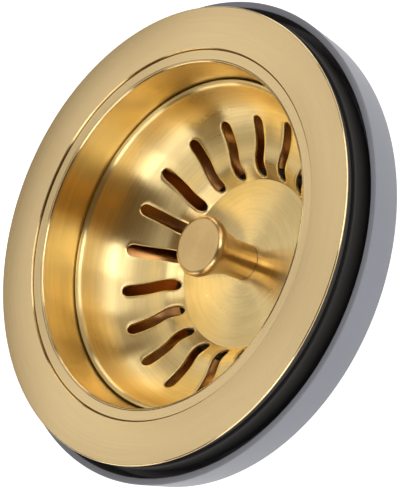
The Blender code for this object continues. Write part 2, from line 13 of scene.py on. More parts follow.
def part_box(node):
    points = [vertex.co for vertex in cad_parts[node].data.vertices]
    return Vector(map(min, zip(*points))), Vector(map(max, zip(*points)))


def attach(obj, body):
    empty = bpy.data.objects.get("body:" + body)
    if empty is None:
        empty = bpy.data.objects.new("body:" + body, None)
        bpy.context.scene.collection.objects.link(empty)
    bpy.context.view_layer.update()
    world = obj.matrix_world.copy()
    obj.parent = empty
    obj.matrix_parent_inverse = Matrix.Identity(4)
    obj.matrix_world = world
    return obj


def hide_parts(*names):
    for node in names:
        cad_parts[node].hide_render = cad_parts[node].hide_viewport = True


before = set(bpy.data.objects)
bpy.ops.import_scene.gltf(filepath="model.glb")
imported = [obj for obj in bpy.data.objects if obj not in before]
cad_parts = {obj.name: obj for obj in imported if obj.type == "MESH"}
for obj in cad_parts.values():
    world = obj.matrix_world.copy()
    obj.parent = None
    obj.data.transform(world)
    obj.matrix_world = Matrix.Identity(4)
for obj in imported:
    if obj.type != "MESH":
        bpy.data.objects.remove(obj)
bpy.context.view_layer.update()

bl_info = {
    "name": "Basket Drain",
    "version": (1, 0, 0),
    "blender": (4, 5, 0),
    "location": "3D View > Sidebar > Drain",
    "description": "Models the pieces of a basket strainer waste and their finishes",
    "category": "Mesh",
}

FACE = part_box("flange_bowl")[1].z

# Fineness
RING_SEGMENTS = 200
SMALL_SEGMENTS = 96
CURVE_STEPS = 24
STATION_STEPS = 5
LIP_STEPS = 8
ROUND_TURN = radians(15)
SMOOTH_ANGLE = radians(30)
SHARP_ANGLE = radians(60)
WELD = 0.000001
ON_WALL = WELD * 10

# Cutting tools: how far they overrun, and a bar's length in radii of what it cuts
CUT_OVERRUN = 0.002
CUT_LENGTHS = 3

# Rounds of edges
FINE_ROUND = 0.0001
EDGE_ROUND = 0.0002
SOFT_ROUND = 0.0004

# Hexagons: flats as a share of corners, and where the corners are turned off
HEX_FLATS = cos(pi / 6)
TURNED_OFF = 0.96

# Threads: how steep a tooth is and where it starts
TOOTH_SLOPE = 2.6
TOOTH_START = 0.65


def reach(node):
    """How far a CAD node goes out from the axis."""
    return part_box(node)[1].x


def top_drop(node):
    """The drop of a CAD node's upper end."""
    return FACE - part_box(node)[1].z


def foot_drop(node):
    """The drop of a CAD node's lower end."""
    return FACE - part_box(node)[0].z


def measure(node):
    """A CAD node's reach and the drops of its upper and lower ends."""
    return reach(node), top_drop(node), foot_drop(node)


SEAT_MARGIN = 0.0016
SEAT_RADIUS = reach("stopper_seal") + SEAT_MARGIN


def metres(name, text, value):
    """A size that a user can change."""
    return FloatProperty(
        name=name, description=text, default=value, min=0, precision=5,
        subtype="DISTANCE", unit="LENGTH")


def colour(name, text, value):
    """A colour that a user can change."""
    return FloatVectorProperty(
        name=name, description=text, default=value, min=0, max=1, size=3, subtype="COLOR")


class DrainSizes(bpy.types.PropertyGroup):
    """Sizes of the drain's pieces, in metres. Drops are measured down from the flange's face."""

    flange_radius: metres("Flange radius", "Outer radius of the flange", reach("flange_bowl"))
    bowl_radius: metres("Bowl radius", "Inner radius of the bowl's straight wall", 0.042)
    ledge_width: metres("Ledge width", "Width of the sunk ledge round the bowl", 0.00328)
    bowl_taper: metres("Bowl taper", "How much the bowl's wall draws in at its lower end", 0.001)
    step_drop: metres("Step drop", "Drop of the ledge below the flange's face", 0.0005)
    bowl_sheet: metres("Bowl sheet", "Thickness of the flange and bowl", 0.001)
    wall_drop: metres("Wall drop", "Drop at which the bowl's straight wall ends", 0.0135)
    seat_radius: metres("Seat radius", "Outer radius of the stopper's seat", SEAT_RADIUS)
    basket_radius: metres("Basket radius", "Outer radius of the basket's lip", reach("basket"))
    basket_drop: metres("Basket drop", "Drop of the basket's lip", top_drop("basket"))
    basket_sheet: metres("Basket sheet", "Thickness of the basket", 0.0008)
    floor_radius: metres("Floor radius", "Radius of the basket's floor", 0.0211)
    floor_drop: metres("Floor drop", "Drop of the edge of the basket's floor", 0.0289)
    floor_crown: metres("Floor crown", "Rise of the basket's floor at its centre", 0.0012)
    slot_width: metres("Slot width", "Width of each slot in the basket", 0.00285)
    slot_count: IntProperty(
        name="Slot count", description="Slots round the basket", default=20, min=3)
    knob_radius: metres("Knob radius", "Radius of the knob's head", reach("knob"))
    stem_radius: metres("Stem radius", "Radius of the knob's stem", 0.0045)
    rim_radius: metres("Rim radius", "Outer radius of the plastic body's rim", reach("drain_body"))
    thread_depth: metres("Thread depth", "Depth of the outlet's thread", 0.00148)
    thread_pitch: metres("Thread pitch", "Pitch of the outlet's thread", 0.00231)


class DrainColours(bpy.types.PropertyGroup):
    """Colours of the drain's finishes."""

    flange_gold: colour("Flange gold", "Brushed gold of the flange's face", (0.83, 0.64, 0.34))
    gold: colour("Gold", "Brushed gold of the bowl and the basket", (0.97, 0.76, 0.36))
    knob_gold: colour("Knob gold", "Turned gold of the knob", (0.80, 0.56, 0.25))
    # Painted shade: the bowl below the basket's lip is painted this darker gold where shade falls
    # in the gap and deep in the bowl
    bowl_shade_gold: colour(
        "Bowl shade gold", "Darker gold painted low in the bowl as its shade", (0.48, 0.24, 0.09))
    gasket: colour("Gasket", "Black rubber of the gasket and the seals", (0.014, 0.0132, 0.0128))
    stopper: colour("Stopper", "Black rubber of the stopper", (0.012, 0.012, 0.013))
    plastic: colour("Plastic", "Grey plastic of the body", (0.225, 0.238, 0.280))
    steel: colour("Steel", "Plain steel of the screw, the pin and the plate", (0.58, 0.57, 0.55))
    brass: colour("Brass", "Brass of the nut", (0.62, 0.46, 0.19))
    floor: colour("Floor", "The floor that the drain stands on", (0.8, 0.8, 0.8))


# Outlines

def arc(centre, radius, start, end, steps):
    """Points of an arc in (radius, drop)."""
    angles = [start + (end - start) * step / steps for step in range(steps + 1)]
    return [
        (centre[0] + radius[0] * cos(angle), centre[1] + radius[1] * sin(angle))
        for angle in angles
    ]


def lip(wall, drop, size):
    """A quarter round from a face at a drop down to a wall at a radius."""
    return arc((wall + size, drop + size), (size, size), -pi / 2, -pi, LIP_STEPS)


def bezier(corners, steps):
    """Points of a cubic curve from its four corners."""
    points = []
    for step in range(steps + 1):
        t = step / steps
        weights = ((1 - t) ** 3, 3 * t * (1 - t) ** 2, 3 * t * t * (1 - t), t ** 3)
        points.append(tuple(sum(w * c[axis] for w, c in zip(weights, corners)) for axis in (0, 1)))
    return points


def smooth_through(stations, steps):
    """Points of a smooth curve that passes through every station."""
    places = [Vector(station) for station in stations]
    spans = [after - before for before, after in zip(places, places[1:])]
    courses = [spans[0].normalized()]
    for first, second in zip(spans, spans[1:]):
        course = first / first.length ** 2 + second / second.length ** 2
        courses.append(course / (1 / first.length + 1 / second.length))
    courses.append(spans[-1].normalized())
    points = []
    for start, span, leaving, coming in zip(places, spans, courses, courses[1:]):
        rise, fall = leaving * span.length, coming * span.length
        bend, twist = 3 * span - 2 * rise - fall, rise + fall - 2 * span
        for step in range(steps):
            t = step / steps
            points.append(tuple(start + rise * t + bend * t ** 2 + twist * t ** 3))
    points.append(tuple(places[-1]))
    return points


def offset(path, distance):
    """The path moved sideways, to the outside of a sheet whose upper face it draws."""
    moved = []
    for index, point in enumerate(path):
        normals = []
        for first, second in ((index - 1, index), (index, index + 1)):
            if first >= 0 and second < len(path):
                along = (path[second][0] - path[first][0], path[second][1] - path[first][1])
                length = hypot(*along)
                normals.append((along[1] / length, -along[0] / length))
        mean = [sum(normal[axis] for normal in normals) / len(normals) for axis in (0, 1)]
        square = mean[0] ** 2 + mean[1] ** 2
        moved.append(tuple(point[axis] + distance * mean[axis] / square for axis in (0, 1)))
    return moved


def rounded(corners, closed=True):
    """An outline with rounded corners. Each corner is (radius, drop) or (radius, drop, round)."""
    path = []
    for index, corner in enumerate(corners):
        here = Vector(corner[:2])
        inside = closed or 0 < index < len(corners) - 1
        if len(corner) < 3 or not corner[2] or not inside:
            path.append(tuple(here))
            continue
        back = (Vector(corners[index - 1][:2]) - here).normalized()
        on = (Vector(corners[(index + 1) % len(corners)][:2]) - here).normalized()
        half = back.angle(on) / 2
        centre = here + (back + on).normalized() * (corner[2] / sin(half))
        start = here + back * (corner[2] / tan(half)) - centre
        end = here + on * (corner[2] / tan(half)) - centre
        first = atan2(start.y, start.x)
        turn = (atan2(end.y, end.x) - first + pi) % tau - pi
        steps = max(2, ceil(abs(turn) / ROUND_TURN))
        path += arc(centre, (corner[2], corner[2]), first, first + turn, steps)
    return path


def underside(face, thickness, under_round):
    """The corners of a pressed sheet's lower face from those of a face above it."""
    lowered = offset([corner[:2] for corner in face], thickness)
    return [(*point, under_round if len(corner) > 2 else 0) for point, corner in zip(lowered, face)]


# Modelling

def start_alone():
    """Deselect everything, so that the next tool acts on its own piece only."""
    bpy.ops.object.select_all(action="DESELECT")


def pick(piece):
    """Select one piece alone and make it the active one."""
    start_alone()
    piece.select_set(True)
    bpy.context.view_layer.objects.active = piece


def named(name):
    """The piece that was just added, with its name."""
    piece = bpy.context.object
    piece.name = piece.data.name = name
    return piece


def edit(piece):
    """Open a piece in edit mode with all of it selected."""
    pick(piece)
    bpy.ops.object.mode_set(mode="EDIT")
    bpy.ops.mesh.select_all(action="SELECT")


def close_up():
    """Weld what meets, turn the faces outwards and leave edit mode."""
    bpy.ops.mesh.select_all(action="SELECT")
    bpy.ops.mesh.remove_doubles(threshold=WELD)
    bpy.ops.mesh.normals_make_consistent(inside=False)
    bpy.ops.object.mode_set(mode="OBJECT")


def settle(piece):
    """Put a piece's place into its mesh."""
    pick(piece)
    bpy.ops.object.transform_apply(location=True, rotation=True, scale=True)
    return piece


def lathe(name, outline, segments=RING_SEGMENTS, closed=True):
    """Draw an outline from a plane shrunk to a point, corner by corner, and spin it round."""
    start_alone()
    radius, drop = outline[0]
    bpy.ops.mesh.primitive_plane_add(size=CUT_OVERRUN, location=(radius, 0, FACE - drop))
    piece = named(name)
    edit(piece)
    bpy.ops.mesh.merge(type="CENTER")
    run = outline + outline[:1] if closed else outline
    for before, after in zip(run, run[1:]):
        step = (after[0] - before[0], 0, before[1] - after[1])
        bpy.ops.mesh.extrude_region_move(TRANSFORM_OT_translate={"value": step})
    bpy.ops.mesh.select_all(action="SELECT")
    bpy.ops.mesh.spin(steps=segments, angle=tau, center=(0, 0, 0), axis=(0, 0, 1))
    close_up()
    return settle(piece)


def flat_ring(name, node, inner, inner_round, outer_round, segments=RING_SEGMENTS):
    """A washer as wide and thick as its CAD node."""
    radius, top, foot = measure(node)
    outline = [
        (radius, top, outer_round),
        (radius, foot, outer_round),
        (inner, foot, inner_round),
        (inner, top, inner_round),
    ]
    return lathe(name, rounded(outline), segments)


def raised(name, places, course):
    """Shape a filled circle by moving its corners, and raise it along a course."""
    start_alone()
    bpy.ops.mesh.primitive_circle_add(vertices=len(places), radius=1, fill_type="NGON")
    piece = named(name)
    for vertex, place in zip(piece.data.vertices, places):
        vertex.co = place
    edit(piece)
    bpy.ops.mesh.extrude_region_move(TRANSFORM_OT_translate={"value": course})
    close_up()
    return settle(piece)


def prism(name, corners, top, bottom):
    """A plan raised between two drops."""
    return raised(name, [(x, y, FACE - bottom) for x, y in corners], (0, 0, bottom - top))


def apply(piece, kind, **values):
    """Add a modifier, set it and apply it."""
    pick(piece)
    bpy.ops.object.modifier_add(type=kind)
    modifier = piece.modifiers[-1]
    for name, value in values.items():
        setattr(modifier, name, value)
    bpy.ops.object.modifier_apply(modifier=modifier.name)


def soften(piece, width, steps=2, angle=SHARP_ANGLE):
    """Round the edges of a piece that are sharper than an angle."""
    apply(piece, "BEVEL", width=width, segments=steps, limit_method="ANGLE", angle_limit=angle)


def combine(piece, tool, operation):
    """Cut a tool out of a piece or join it on, and take the tool away."""
    apply(piece, "BOOLEAN", operation=operation, object=tool, solver="EXACT")
    bpy.data.objects.remove(tool)


def copy_round(piece, count):
    """Repeat all of a piece's mesh round the axis."""
    edit(piece)
    turn = tau * (count - 1) / count
    bpy.ops.mesh.spin(steps=count - 1, angle=turn, center=(0, 0, 0), axis=(0, 0, 1), dupli=True)
    bpy.ops.object.mode_set(mode="OBJECT")


def join(pieces):
    """Join pieces into the first and weld their seams."""
    start_alone()
    for piece in pieces:
        piece.select_set(True)
    bpy.context.view_layer.objects.active = pieces[0]
    bpy.ops.object.join()
    edit(pieces[0])
    close_up()
    return pieces[0]


def turn_about_axis(piece, angle):
    """Turn a piece's mesh about the drain's axis."""
    piece.data.transform(Matrix.Rotation(angle, 4, "Z"))


def hexagon(across_flats):
    """The corners of a hexagonal plan."""
    radius = across_flats / 2 / HEX_FLATS
    return [(radius * cos(tau * k / 6), radius * sin(tau * k / 6)) for k in range(6)]


def bar(length, width, angle=0):
    """The corners of a bar centred on the axis."""
    ends = [(length / 2 * x, width / 2 * y) for x, y in ((-1, -1), (1, -1), (1, 1), (-1, 1))]
    return [(x * cos(angle) - y * sin(angle), x * sin(angle) + y * cos(angle)) for x, y in ends]


def six_sided(name, inner, corner, drops, edge=0):
    """A hexagonal ring from its top, where its corners start and end, and its foot."""
    top, start, end, foot = drops
    flats = corner * HEX_FLATS
    outline = [
        (inner, top, edge),
        (flats * TURNED_OFF, top),
        (corner, start),
        (corner, end),
        (flats * TURNED_OFF, foot),
        (inner, foot, edge),
    ]
    piece = lathe(name, rounded(outline), SMALL_SEGMENTS)
    sides = prism("six sides", hexagon(2 * flats), top - CUT_OVERRUN, foot + CUT_OVERRUN)
    combine(piece, sides, "INTERSECT")
    return piece


def rows(radius, top, bottom):
    """Points down a straight wall, close enough together to take a thread."""
    count = ceil((bottom - top) / THREAD_ROW)
    return [(radius, top + (bottom - top) * step / count) for step in range(count + 1)]


def raise_thread(piece, core, top, bottom, pitch, depth):
    """Move the wall's points out to a helical thread that fades at both ends."""
    for vertex in piece.data.vertices:
        x, y, z = vertex.co
        drop = FACE - z
        if abs(hypot(x, y) - core) > ON_WALL or not top < drop < bottom:
            continue
        turn = (drop / pitch + atan2(y, x) / tau) % 1
        tooth = min(1, max(0, TOOTH_SLOPE * abs(2 * turn - 1) - TOOTH_START))
        fade = min(1, (drop - top) / pitch, (bottom - drop) / depth)
        grown = (core + depth * tooth * fade) / core
        vertex.co = (x * grown, y * grown, z)


def finish(piece, name, look, body, node):
    """Smooth a piece, give it its finish, and let it ride for its CAD node."""
    pick(piece)
    piece.name = piece.data.name = name
    bpy.ops.object.shade_smooth_by_angle(angle=SMOOTH_ANGLE)
    piece.data.materials.clear()
    piece.data.materials.append(find_material(look))
    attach(piece, body)
    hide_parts(node)


# Finishes

class Nodes:
    """A node tree with short calls to add and join its nodes."""

    def __init__(self, tree):
        self.tree = tree

    def add(self, kind, **values):
        """Add a node and set its own values."""
        node = self.tree.nodes.new(kind)
        for name, value in values.items():
            setattr(node, name, value)
        return node

    def math(self, operation, first, second=None):
        """A maths node on sockets or numbers."""
        node = self.add("ShaderNodeMath", operation=operation)
        for socket, value in zip(node.inputs, (first, second)):
            self.feed(value, socket)
        return node.outputs[0]

    def feed(self, value, socket):
        """Link a socket, or set a number or colour."""
        if value is None:
            return
        if isinstance(value, bpy.types.NodeSocket):
            self.tree.links.new(value, socket)
        else:
            socket.default_value = value

    def group(self, group, **values):
        """Place a node group with its own values."""
        node = self.add("ShaderNodeGroup", node_tree=group)
        for name, value in values.items():
            self.feed(value, node.inputs[name.replace("_", " ").capitalize()])
        return node

    def mix(self, share, first, second):
        """A colour between two others."""
        node = self.add("ShaderNodeMix", data_type="RGBA")
        self.feed(share, node.inputs[0])
        self.feed(first, node.inputs[6])
        self.feed(second, node.inputs[7])
        return node.outputs[2]

    def ranged(self, value, low, high):
        """A value of 0 to 1 spread between two others."""
        node = self.add("ShaderNodeMapRange")
        self.feed(value, node.inputs["Value"])
        self.feed(low, node.inputs["To Min"])
        self.feed(high, node.inputs["To Max"])
        return node.outputs["Result"]

    def noise(self, vector, scale, detail, **values):
        """A noise pattern."""
        node = self.add("ShaderNodeTexNoise", **values)
        for title, value in (("Vector", vector), ("Scale", scale), ("Detail", detail)):
            self.feed(value, node.inputs[title])
        return node

    def split(self, vector):
        """A vector's three parts, and its squared distance from the axis."""
        parts = self.add("ShaderNodeSeparateXYZ")
        self.feed(vector, parts.inputs[0])
        x, y, z = parts.outputs
        return x, y, z, self.math("ADD", self.math("MULTIPLY", x, x), self.math("MULTIPLY", y, y))


def new_group(name, inputs, outputs):
    """An empty node group with named sockets."""
    tree = bpy.data.node_groups.new(name, "ShaderNodeTree")
    for title, value in inputs:
        kind = "NodeSocketVector" if value is None else "NodeSocketFloat"
        socket = tree.interface.new_socket(title, in_out="INPUT", socket_type=kind)
        if value is not None:
            socket.default_value = value
    for title in outputs:
        tree.interface.new_socket(title, in_out="OUTPUT", socket_type="NodeSocketFloat")
    nodes = Nodes(tree)
    return nodes, nodes.add("NodeGroupInput").outputs, nodes.add("NodeGroupOutput").inputs


# Strokes of the brush. A pattern is its name, its share of the lines and its detail, and the
# rings' middle keeps their squared radius off nought on the axis.
RING_PATTERNS = (("Strokes", 1.0, 2.0), ("Bands", 0.13, 3.0))
RING_MIDDLE = 0.00000001
STROKE_BUMP = 0.00002
FACE_SPREAD = (-0.6, 1.6)
FACE_STROKE = 0.90
WALL_SPREAD = (-0.2, 1.2)
WALL_STROKE = 0.80
WALL_LINES = 1500
WALL_RUN = 2.2
ACROSS_TANGENT = 0.25
GRAIN_BUMP = 0.00003

# Where the gold changes, where the bowl's lower part is painted darker as its shade, and the tone
# of the painted shade in its fine grooves
FACE_DEPTH = 0.0012
FACE_FADE = 0.0004
# Where the painted shade of the bowl's lower part starts below the basket's lip, and how it fades
# in
BOWL_SHADE_START = 0.0011
BOWL_SHADE_FADE = 0.0015
# Painted shade: the dark tone laid in the fine grooves at the step and at the lip
GROOVE_SHADE_TONE = (0.42, 0.30, 0.13)

# Name, colour, roughness from and to, lines and run of the strokes, relief, spread of the shine
BRUSHED_METALS = (
    ("gold flange", "flange_gold", (0.18, 0.25), 2600, 2.2, 0.3, 0.95),
    ("gold basket", "gold", (0.25, 0.32), 2600, 2.2, 0.8, 1.0),
    ("gold knob", "knob_gold", (0.28, 0.32), 1600, 1.6, 0.0, 0.65),
    ("plain steel", "steel", (0.25, 0.38), 3200, 2.0, 0.2, 0.3),
    ("yellow brass", "brass", (0.28, 0.40), 3200, 2.0, 0.2, 0.3),
)
# Name, colour, roughness from and to, relief, how much paler its patches are, shine
MOULDED_SKINS = (
    ("gasket rubber", "gasket", (0.50, 0.62), 0.3, 1.5, 0.3),
    ("washer rubber", "gasket", (0.42, 0.56), 0.3, 1.5, 0.5),
    ("stopper rubber", "stopper", (0.40, 0.55), 0.3, 1.4, 0.5),
    ("grey plastic", "plastic", (0.36, 0.48), 0.12, 1.12, 0.5),
)


def brushed_rings():
    """Fine strokes that run round the axis, as brushing leaves them, and broad bands of them."""
    given = [("Vector", None), ("Lines", 2600.0), ("Run", 3.0)]
    nodes, given, made = new_group("brushed rings", given, ["Strokes", "Bands"])
    x, y, z, square = nodes.split(given["Vector"])
    radius = nodes.math("SQRT", nodes.math("ADD", square, RING_MIDDLE))
    around = nodes.math("DIVIDE", given["Run"], radius)
    for title, share, detail in RING_PATTERNS:
        lines = nodes.math("MULTIPLY", given["Lines"], share)
        place = nodes.add("ShaderNodeCombineXYZ")
        outwards = nodes.math("ADD", radius, z)
        for part, scale, socket in zip((x, y, outwards), (around, around, lines), place.inputs):
            nodes.feed(nodes.math("MULTIPLY", part, scale), socket)
        pattern = nodes.noise(place.outputs[0], 1.0, detail, noise_dimensions="4D")
        nodes.feed(nodes.math("MULTIPLY", z, lines), pattern.inputs["W"])
        nodes.feed(pattern.outputs[0], made[title])
    return nodes.tree


def fine_grain():
    """A moulded skin: a fine grain and soft broad patches."""
    given = [("Vector", None), ("Grain", 2200.0), ("Patches", 60.0)]
    nodes, given, made = new_group("fine grain", given, ["Grain", "Patches"])
    for title, detail in (("Grain", 3.0), ("Patches", 2.0)):
        pattern = nodes.noise(given["Vector"], given[title], detail)
        nodes.feed(pattern.outputs[0], made[title])
    return nodes.tree


def place_masks():
    """A mask that fades in below a height, and one for a thin ring at a radius."""
    given = [("Vector", None), ("Height", 0.03), ("Fade", 0.003)]
    given += [("Radius", 0.04), ("Width", 0.0002)]
    nodes, given, made = new_group("place masks", given, ["Below", "Line"])
    _, _, z, square = nodes.split(given["Vector"])
    share = nodes.add("ShaderNodeMath", operation="DIVIDE", use_clamp=True)
    nodes.feed(nodes.math("SUBTRACT", given["Height"], z), share.inputs[0])
    nodes.feed(given["Fade"], share.inputs[1])
    nodes.feed(share.outputs[0], made["Below"])
    away = nodes.math("SUBTRACT", nodes.math("SQRT", square), given["Radius"])
    twice = nodes.math("MULTIPLY", nodes.math("ABSOLUTE", away), 2.0)
    near = nodes.math("DIVIDE", twice, given["Width"])
    nodes.feed(nodes.math("LESS_THAN", near, 1.0), made["Line"])
    return nodes.tree


def open_material(material):
    """A material's node tree, its shader and the piece's own coordinates."""
    nodes = Nodes(material.node_tree)
    shader = material.node_tree.nodes["Principled BSDF"]
    return nodes, shader, nodes.add("ShaderNodeTexCoord").outputs["Object"]


def new_material(name):
    """A material that is ready for its nodes, with what open_material gives."""
    material = bpy.data.materials.new(name)
    material.use_nodes = True
    return material, *open_material(material)


def find_material(name):
    """A finish that was made before, by name."""
    material = bpy.data.materials.get(name)
    if material is None:
        raise RuntimeError(f"the finish {name} has not been made yet")
    return material


def bump(nodes, shader, height, strength, distance):
    """Let a height disturb the shader's normal."""
    node = nodes.add("ShaderNodeBump")
    for title, value in (("Strength", strength), ("Distance", distance), ("Height", height)):
        nodes.feed(value, node.inputs[title])
    nodes.feed(node.outputs[0], shader.inputs["Normal"])


def stroked(nodes, pattern, spread, tone, depth):
    """A colour that goes deeper where the brush left its strokes."""
    deep = [depth * value for value in tone]
    return nodes.mix(nodes.ranged(pattern, *spread), (*deep, 1), (*tone, 1))


def brushed_metal(rings, name, tone, rough, lines, run, relief, spread):
    """Metal brushed round the axis: pale and deep strokes, rougher and smoother ones."""
    _, nodes, shader, place = new_material(name)
    strokes, bands = nodes.group(rings, vector=place, lines=lines, run=run).outputs
    halves = [nodes.math("MULTIPLY", pattern, 0.5) for pattern in (strokes, bands)]
    shade = nodes.math("ADD", *halves)
    nodes.feed(stroked(nodes, shade, FACE_SPREAD, tone, FACE_STROKE), shader.inputs["Base Color"])
    nodes.feed(nodes.ranged(bands, *rough), shader.inputs["Roughness"])
    shader.inputs["Metallic"].default_value = 1.0
    shader.inputs["Anisotropic"].default_value = spread
    shader.inputs["Anisotropic Rotation"].default_value = ACROSS_TANGENT
    tangent = nodes.add("ShaderNodeTangent", direction_type="RADIAL", axis="Z")
    nodes.feed(tangent.outputs[0], shader.inputs["Tangent"])
    bump(nodes, shader, strokes, relief, STROKE_BUMP)


def moulded(grain, name, tone, rough, relief, paler, shine):
    """Rubber or plastic with a fine grain and a slightly uneven shade."""
    _, nodes, shader, place = new_material(name)
    skin = nodes.group(grain, vector=place)
    patches = skin.outputs["Patches"]
    pale = [min(1, value * paler) for value in tone]
    nodes.feed(nodes.mix(patches, (*tone, 1), (*pale, 1)), shader.inputs["Base Color"])
    nodes.feed(nodes.ranged(patches, *rough), shader.inputs["Roughness"])
    shader.inputs["Specular IOR Level"].default_value = shine
    bump(nodes, shader, skin.outputs["Grain"], relief, GRAIN_BUMP)


def cover(nodes, shader, mask, tone):
    """Lay another colour over a shader's own where a mask shows it."""
    under = shader.inputs["Base Color"].links[0].from_socket
    nodes.feed(nodes.mix(mask, under, tone), shader.inputs["Base Color"])


def tint_below(material, masks, rings, height, fade, tone):
    """Change a metal's colour and its strokes below a height."""
    nodes, shader, place = open_material(material)
    below = nodes.group(masks, vector=place, height=height, fade=fade).outputs["Below"]
    strokes = nodes.group(rings, vector=place, lines=WALL_LINES, run=WALL_RUN).outputs[0]
    cover(nodes, shader, below, stroked(nodes, strokes, WALL_SPREAD, tone, WALL_STROKE))


def paint_groove_shade(material, masks, radius, width):
    """Paint shade into a fine round groove: a dark ring in the gold where the crease's shadow
    falls.
    """
    nodes, shader, place = open_material(material)
    line = nodes.group(masks, vector=place, radius=radius, width=width).outputs["Line"]
    cover(nodes, shader, line, (*GROOVE_SHADE_TONE, 1))


# Flange and bowl
LIP_ROUND = 0.0005
LIP_UNDER_ROUND = 0.0011
STEP_SLOPE = 0.0001
STEP_ROUND = 0.0001
CREASE_WIDTH = 0.00022
CREASE_DEPTH = 0.00016
LIP_CREASE_WIDTH = CREASE_WIDTH * 0.6
LIP_CREASE_DEPTH = CREASE_DEPTH * 0.7
FLANGE_EDGE_ROUND = 0.0003
FLANGE_UNDERCUT = 0.0006
BOWL_FULLNESS = 0.46
SEAT_WIDTH = 0.0054
RECESS_SLOPE = 0.0009
RECESS_DEPTH = 0.0030
DISH_GAP = 0.0006
DISH_SLOPE = 0.0010
OPENING_MARGIN = 0.0010
ARM_WIDTH = 0.0044
OPENING_ROUND = 0.0010
OPENING_STEPS = 4
OPENING_ANGLE = radians(40)
HOLE_GAP = 0.0003

# Basket
BASKET_LIP_ROUND = 0.0012
BASKET_LIP_LAND = 0.0003
FLOOR_EDGE_ROUND = 0.0003
SLOT_PHASE = radians(11.8)
SLOT_LAND = 0.00028
SLOT_REACH = 0.764
SLOT_FIELD_EDGE = 0.0012
SLOT_FIELD_RINGS = (1, 0.6, 0.25)
SLOT_END_EDGES = 10
SLOT_SIDE_EDGES = 18
SLOT_TOP_ROUND = 0.00025
SLOT_UNDER_ROUND = 0.0001
# Shares of the side's width and height, from the lip to the floor
BASKET_STATIONS = (
    (1.000, 0.065), (0.989, 0.243), (0.934, 0.405), (0.852, 0.519),
    (0.764, 0.589), (0.681, 0.649), (0.560, 0.714), (0.412, 0.770),
    (0.247, 0.803), (0.192, 0.824), (0.115, 0.884), (0.000, 1.000),
)

# Knob, with the rings of its face and the stations of its neck as shares
KNOB_FACE_RINGS = (0.3, 0.6, 0.8)
KNOB_EDGE_ROUND = 0.0012
KNOB_HEAD_SIDE = 0.0008
KNOB_NECK_DROP = 0.0222
KNOB_FOOT_EXTRA = 0.0002
KNOB_STATIONS = ((1.0, 0.0), (0.88, 0.10), (0.61, 0.30), (0.34, 0.55), (0.14, 0.80), (0.00, 1.00))
STUD_END_GAP = 0.0005

# Stopper, its foot as (distance from its edge, rise), and its plate's groove as (share, rise)
STOPPER_SIDE = 0.0006
STOPPER_FOOT = ((0.0006, 0), (0.0024, 0), (0.0030, 0.0005), (0.0042, 0.0005), (0.0048, 0))
PLATE_GROOVE = ((0.72, 0), (0.70, 0.0004), (0.52, 0.0004), (0.50, 0))

# Gasket
GASKET_GAP = 0.0006
GASKET_SHOULDER = (0.004, 0.006)

# Body
RIM_ROUND = EDGE_ROUND * 1.5
BODY_GAP = 0.0010
BODY_WALL = 0.0022
RIM_TAPER = 0.00135
RIM_LIP_WIDTH = 0.00165
CUP_FLOOR_THICKNESS = 0.0033
NECK_ROUND = 0.0012
THROAT_GAP = 0.0006
THROAT_TAPER = 0.0010
SPIGOT_RADIUS = 0.0224
SPIGOT_WALL = 0.0020
SPIGOT_CHAMFER = 0.0008
RIB_COUNT = 12
RIB_THICKNESS = 0.0018
RIB_REACH = 0.82
RIB_DOWN = 0.6
HUB_WALL = 0.0028
HUB_FLOOR = 0.0016
WEB_THICKNESS = 0.0024
THREAD_ROW = 0.00014

# Clamp screw, pin and stud
SCREW_WALL = 0.0015
SCREW_BORE = 0.0035
SCREW_SLOT_WIDTH = 0.0018
SCREW_SLOT_DEPTH = 0.0010
SCREW_HEAD_ROUND = 0.0009
SCREW_PITCH = 0.0015
SCREW_THREAD_DEPTH = 0.0007
NUT_BEVEL = 0.0006
PIN_RADIUS = 0.0030
PIN_COLLAR_HEIGHT = 0.0016
PIN_COLLAR_BEVEL = 0.0004
PIN_TIP_ROUND = 0.0012
GROOVE_GAP = 0.0003
STUD_PITCH = 0.0007
STUD_THREAD_DEPTH = 0.0003

# Places that several pieces share
SEAT_DROP = foot_drop("stopper_seal") + GROOVE_GAP
STUD_HOLE = reach("knob_stud") + HOLE_GAP
SCREW_SHANK = SCREW_BORE + SCREW_WALL
SCREW_HOLE = SCREW_SHANK + HOLE_GAP


def bowl_side(sizes):
    """The bowl's inner face from its tapered wall to the outer edge of its seat."""
    start = (sizes.bowl_radius - sizes.bowl_taper, sizes.wall_drop)
    end = (sizes.seat_radius, SEAT_DROP)
    slope = sizes.bowl_taper / (sizes.wall_drop - sizes.step_drop - LIP_UNDER_ROUND)
    leaving = (end[1] - start[1]) * BOWL_FULLNESS
    handles = (
        (start[0] - leaving * slope, start[1] + leaving),
        (end[0] + (start[0] - end[0]) * BOWL_FULLNESS, end[1]),
    )
    return bezier((start, *handles, end), CURVE_STEPS)


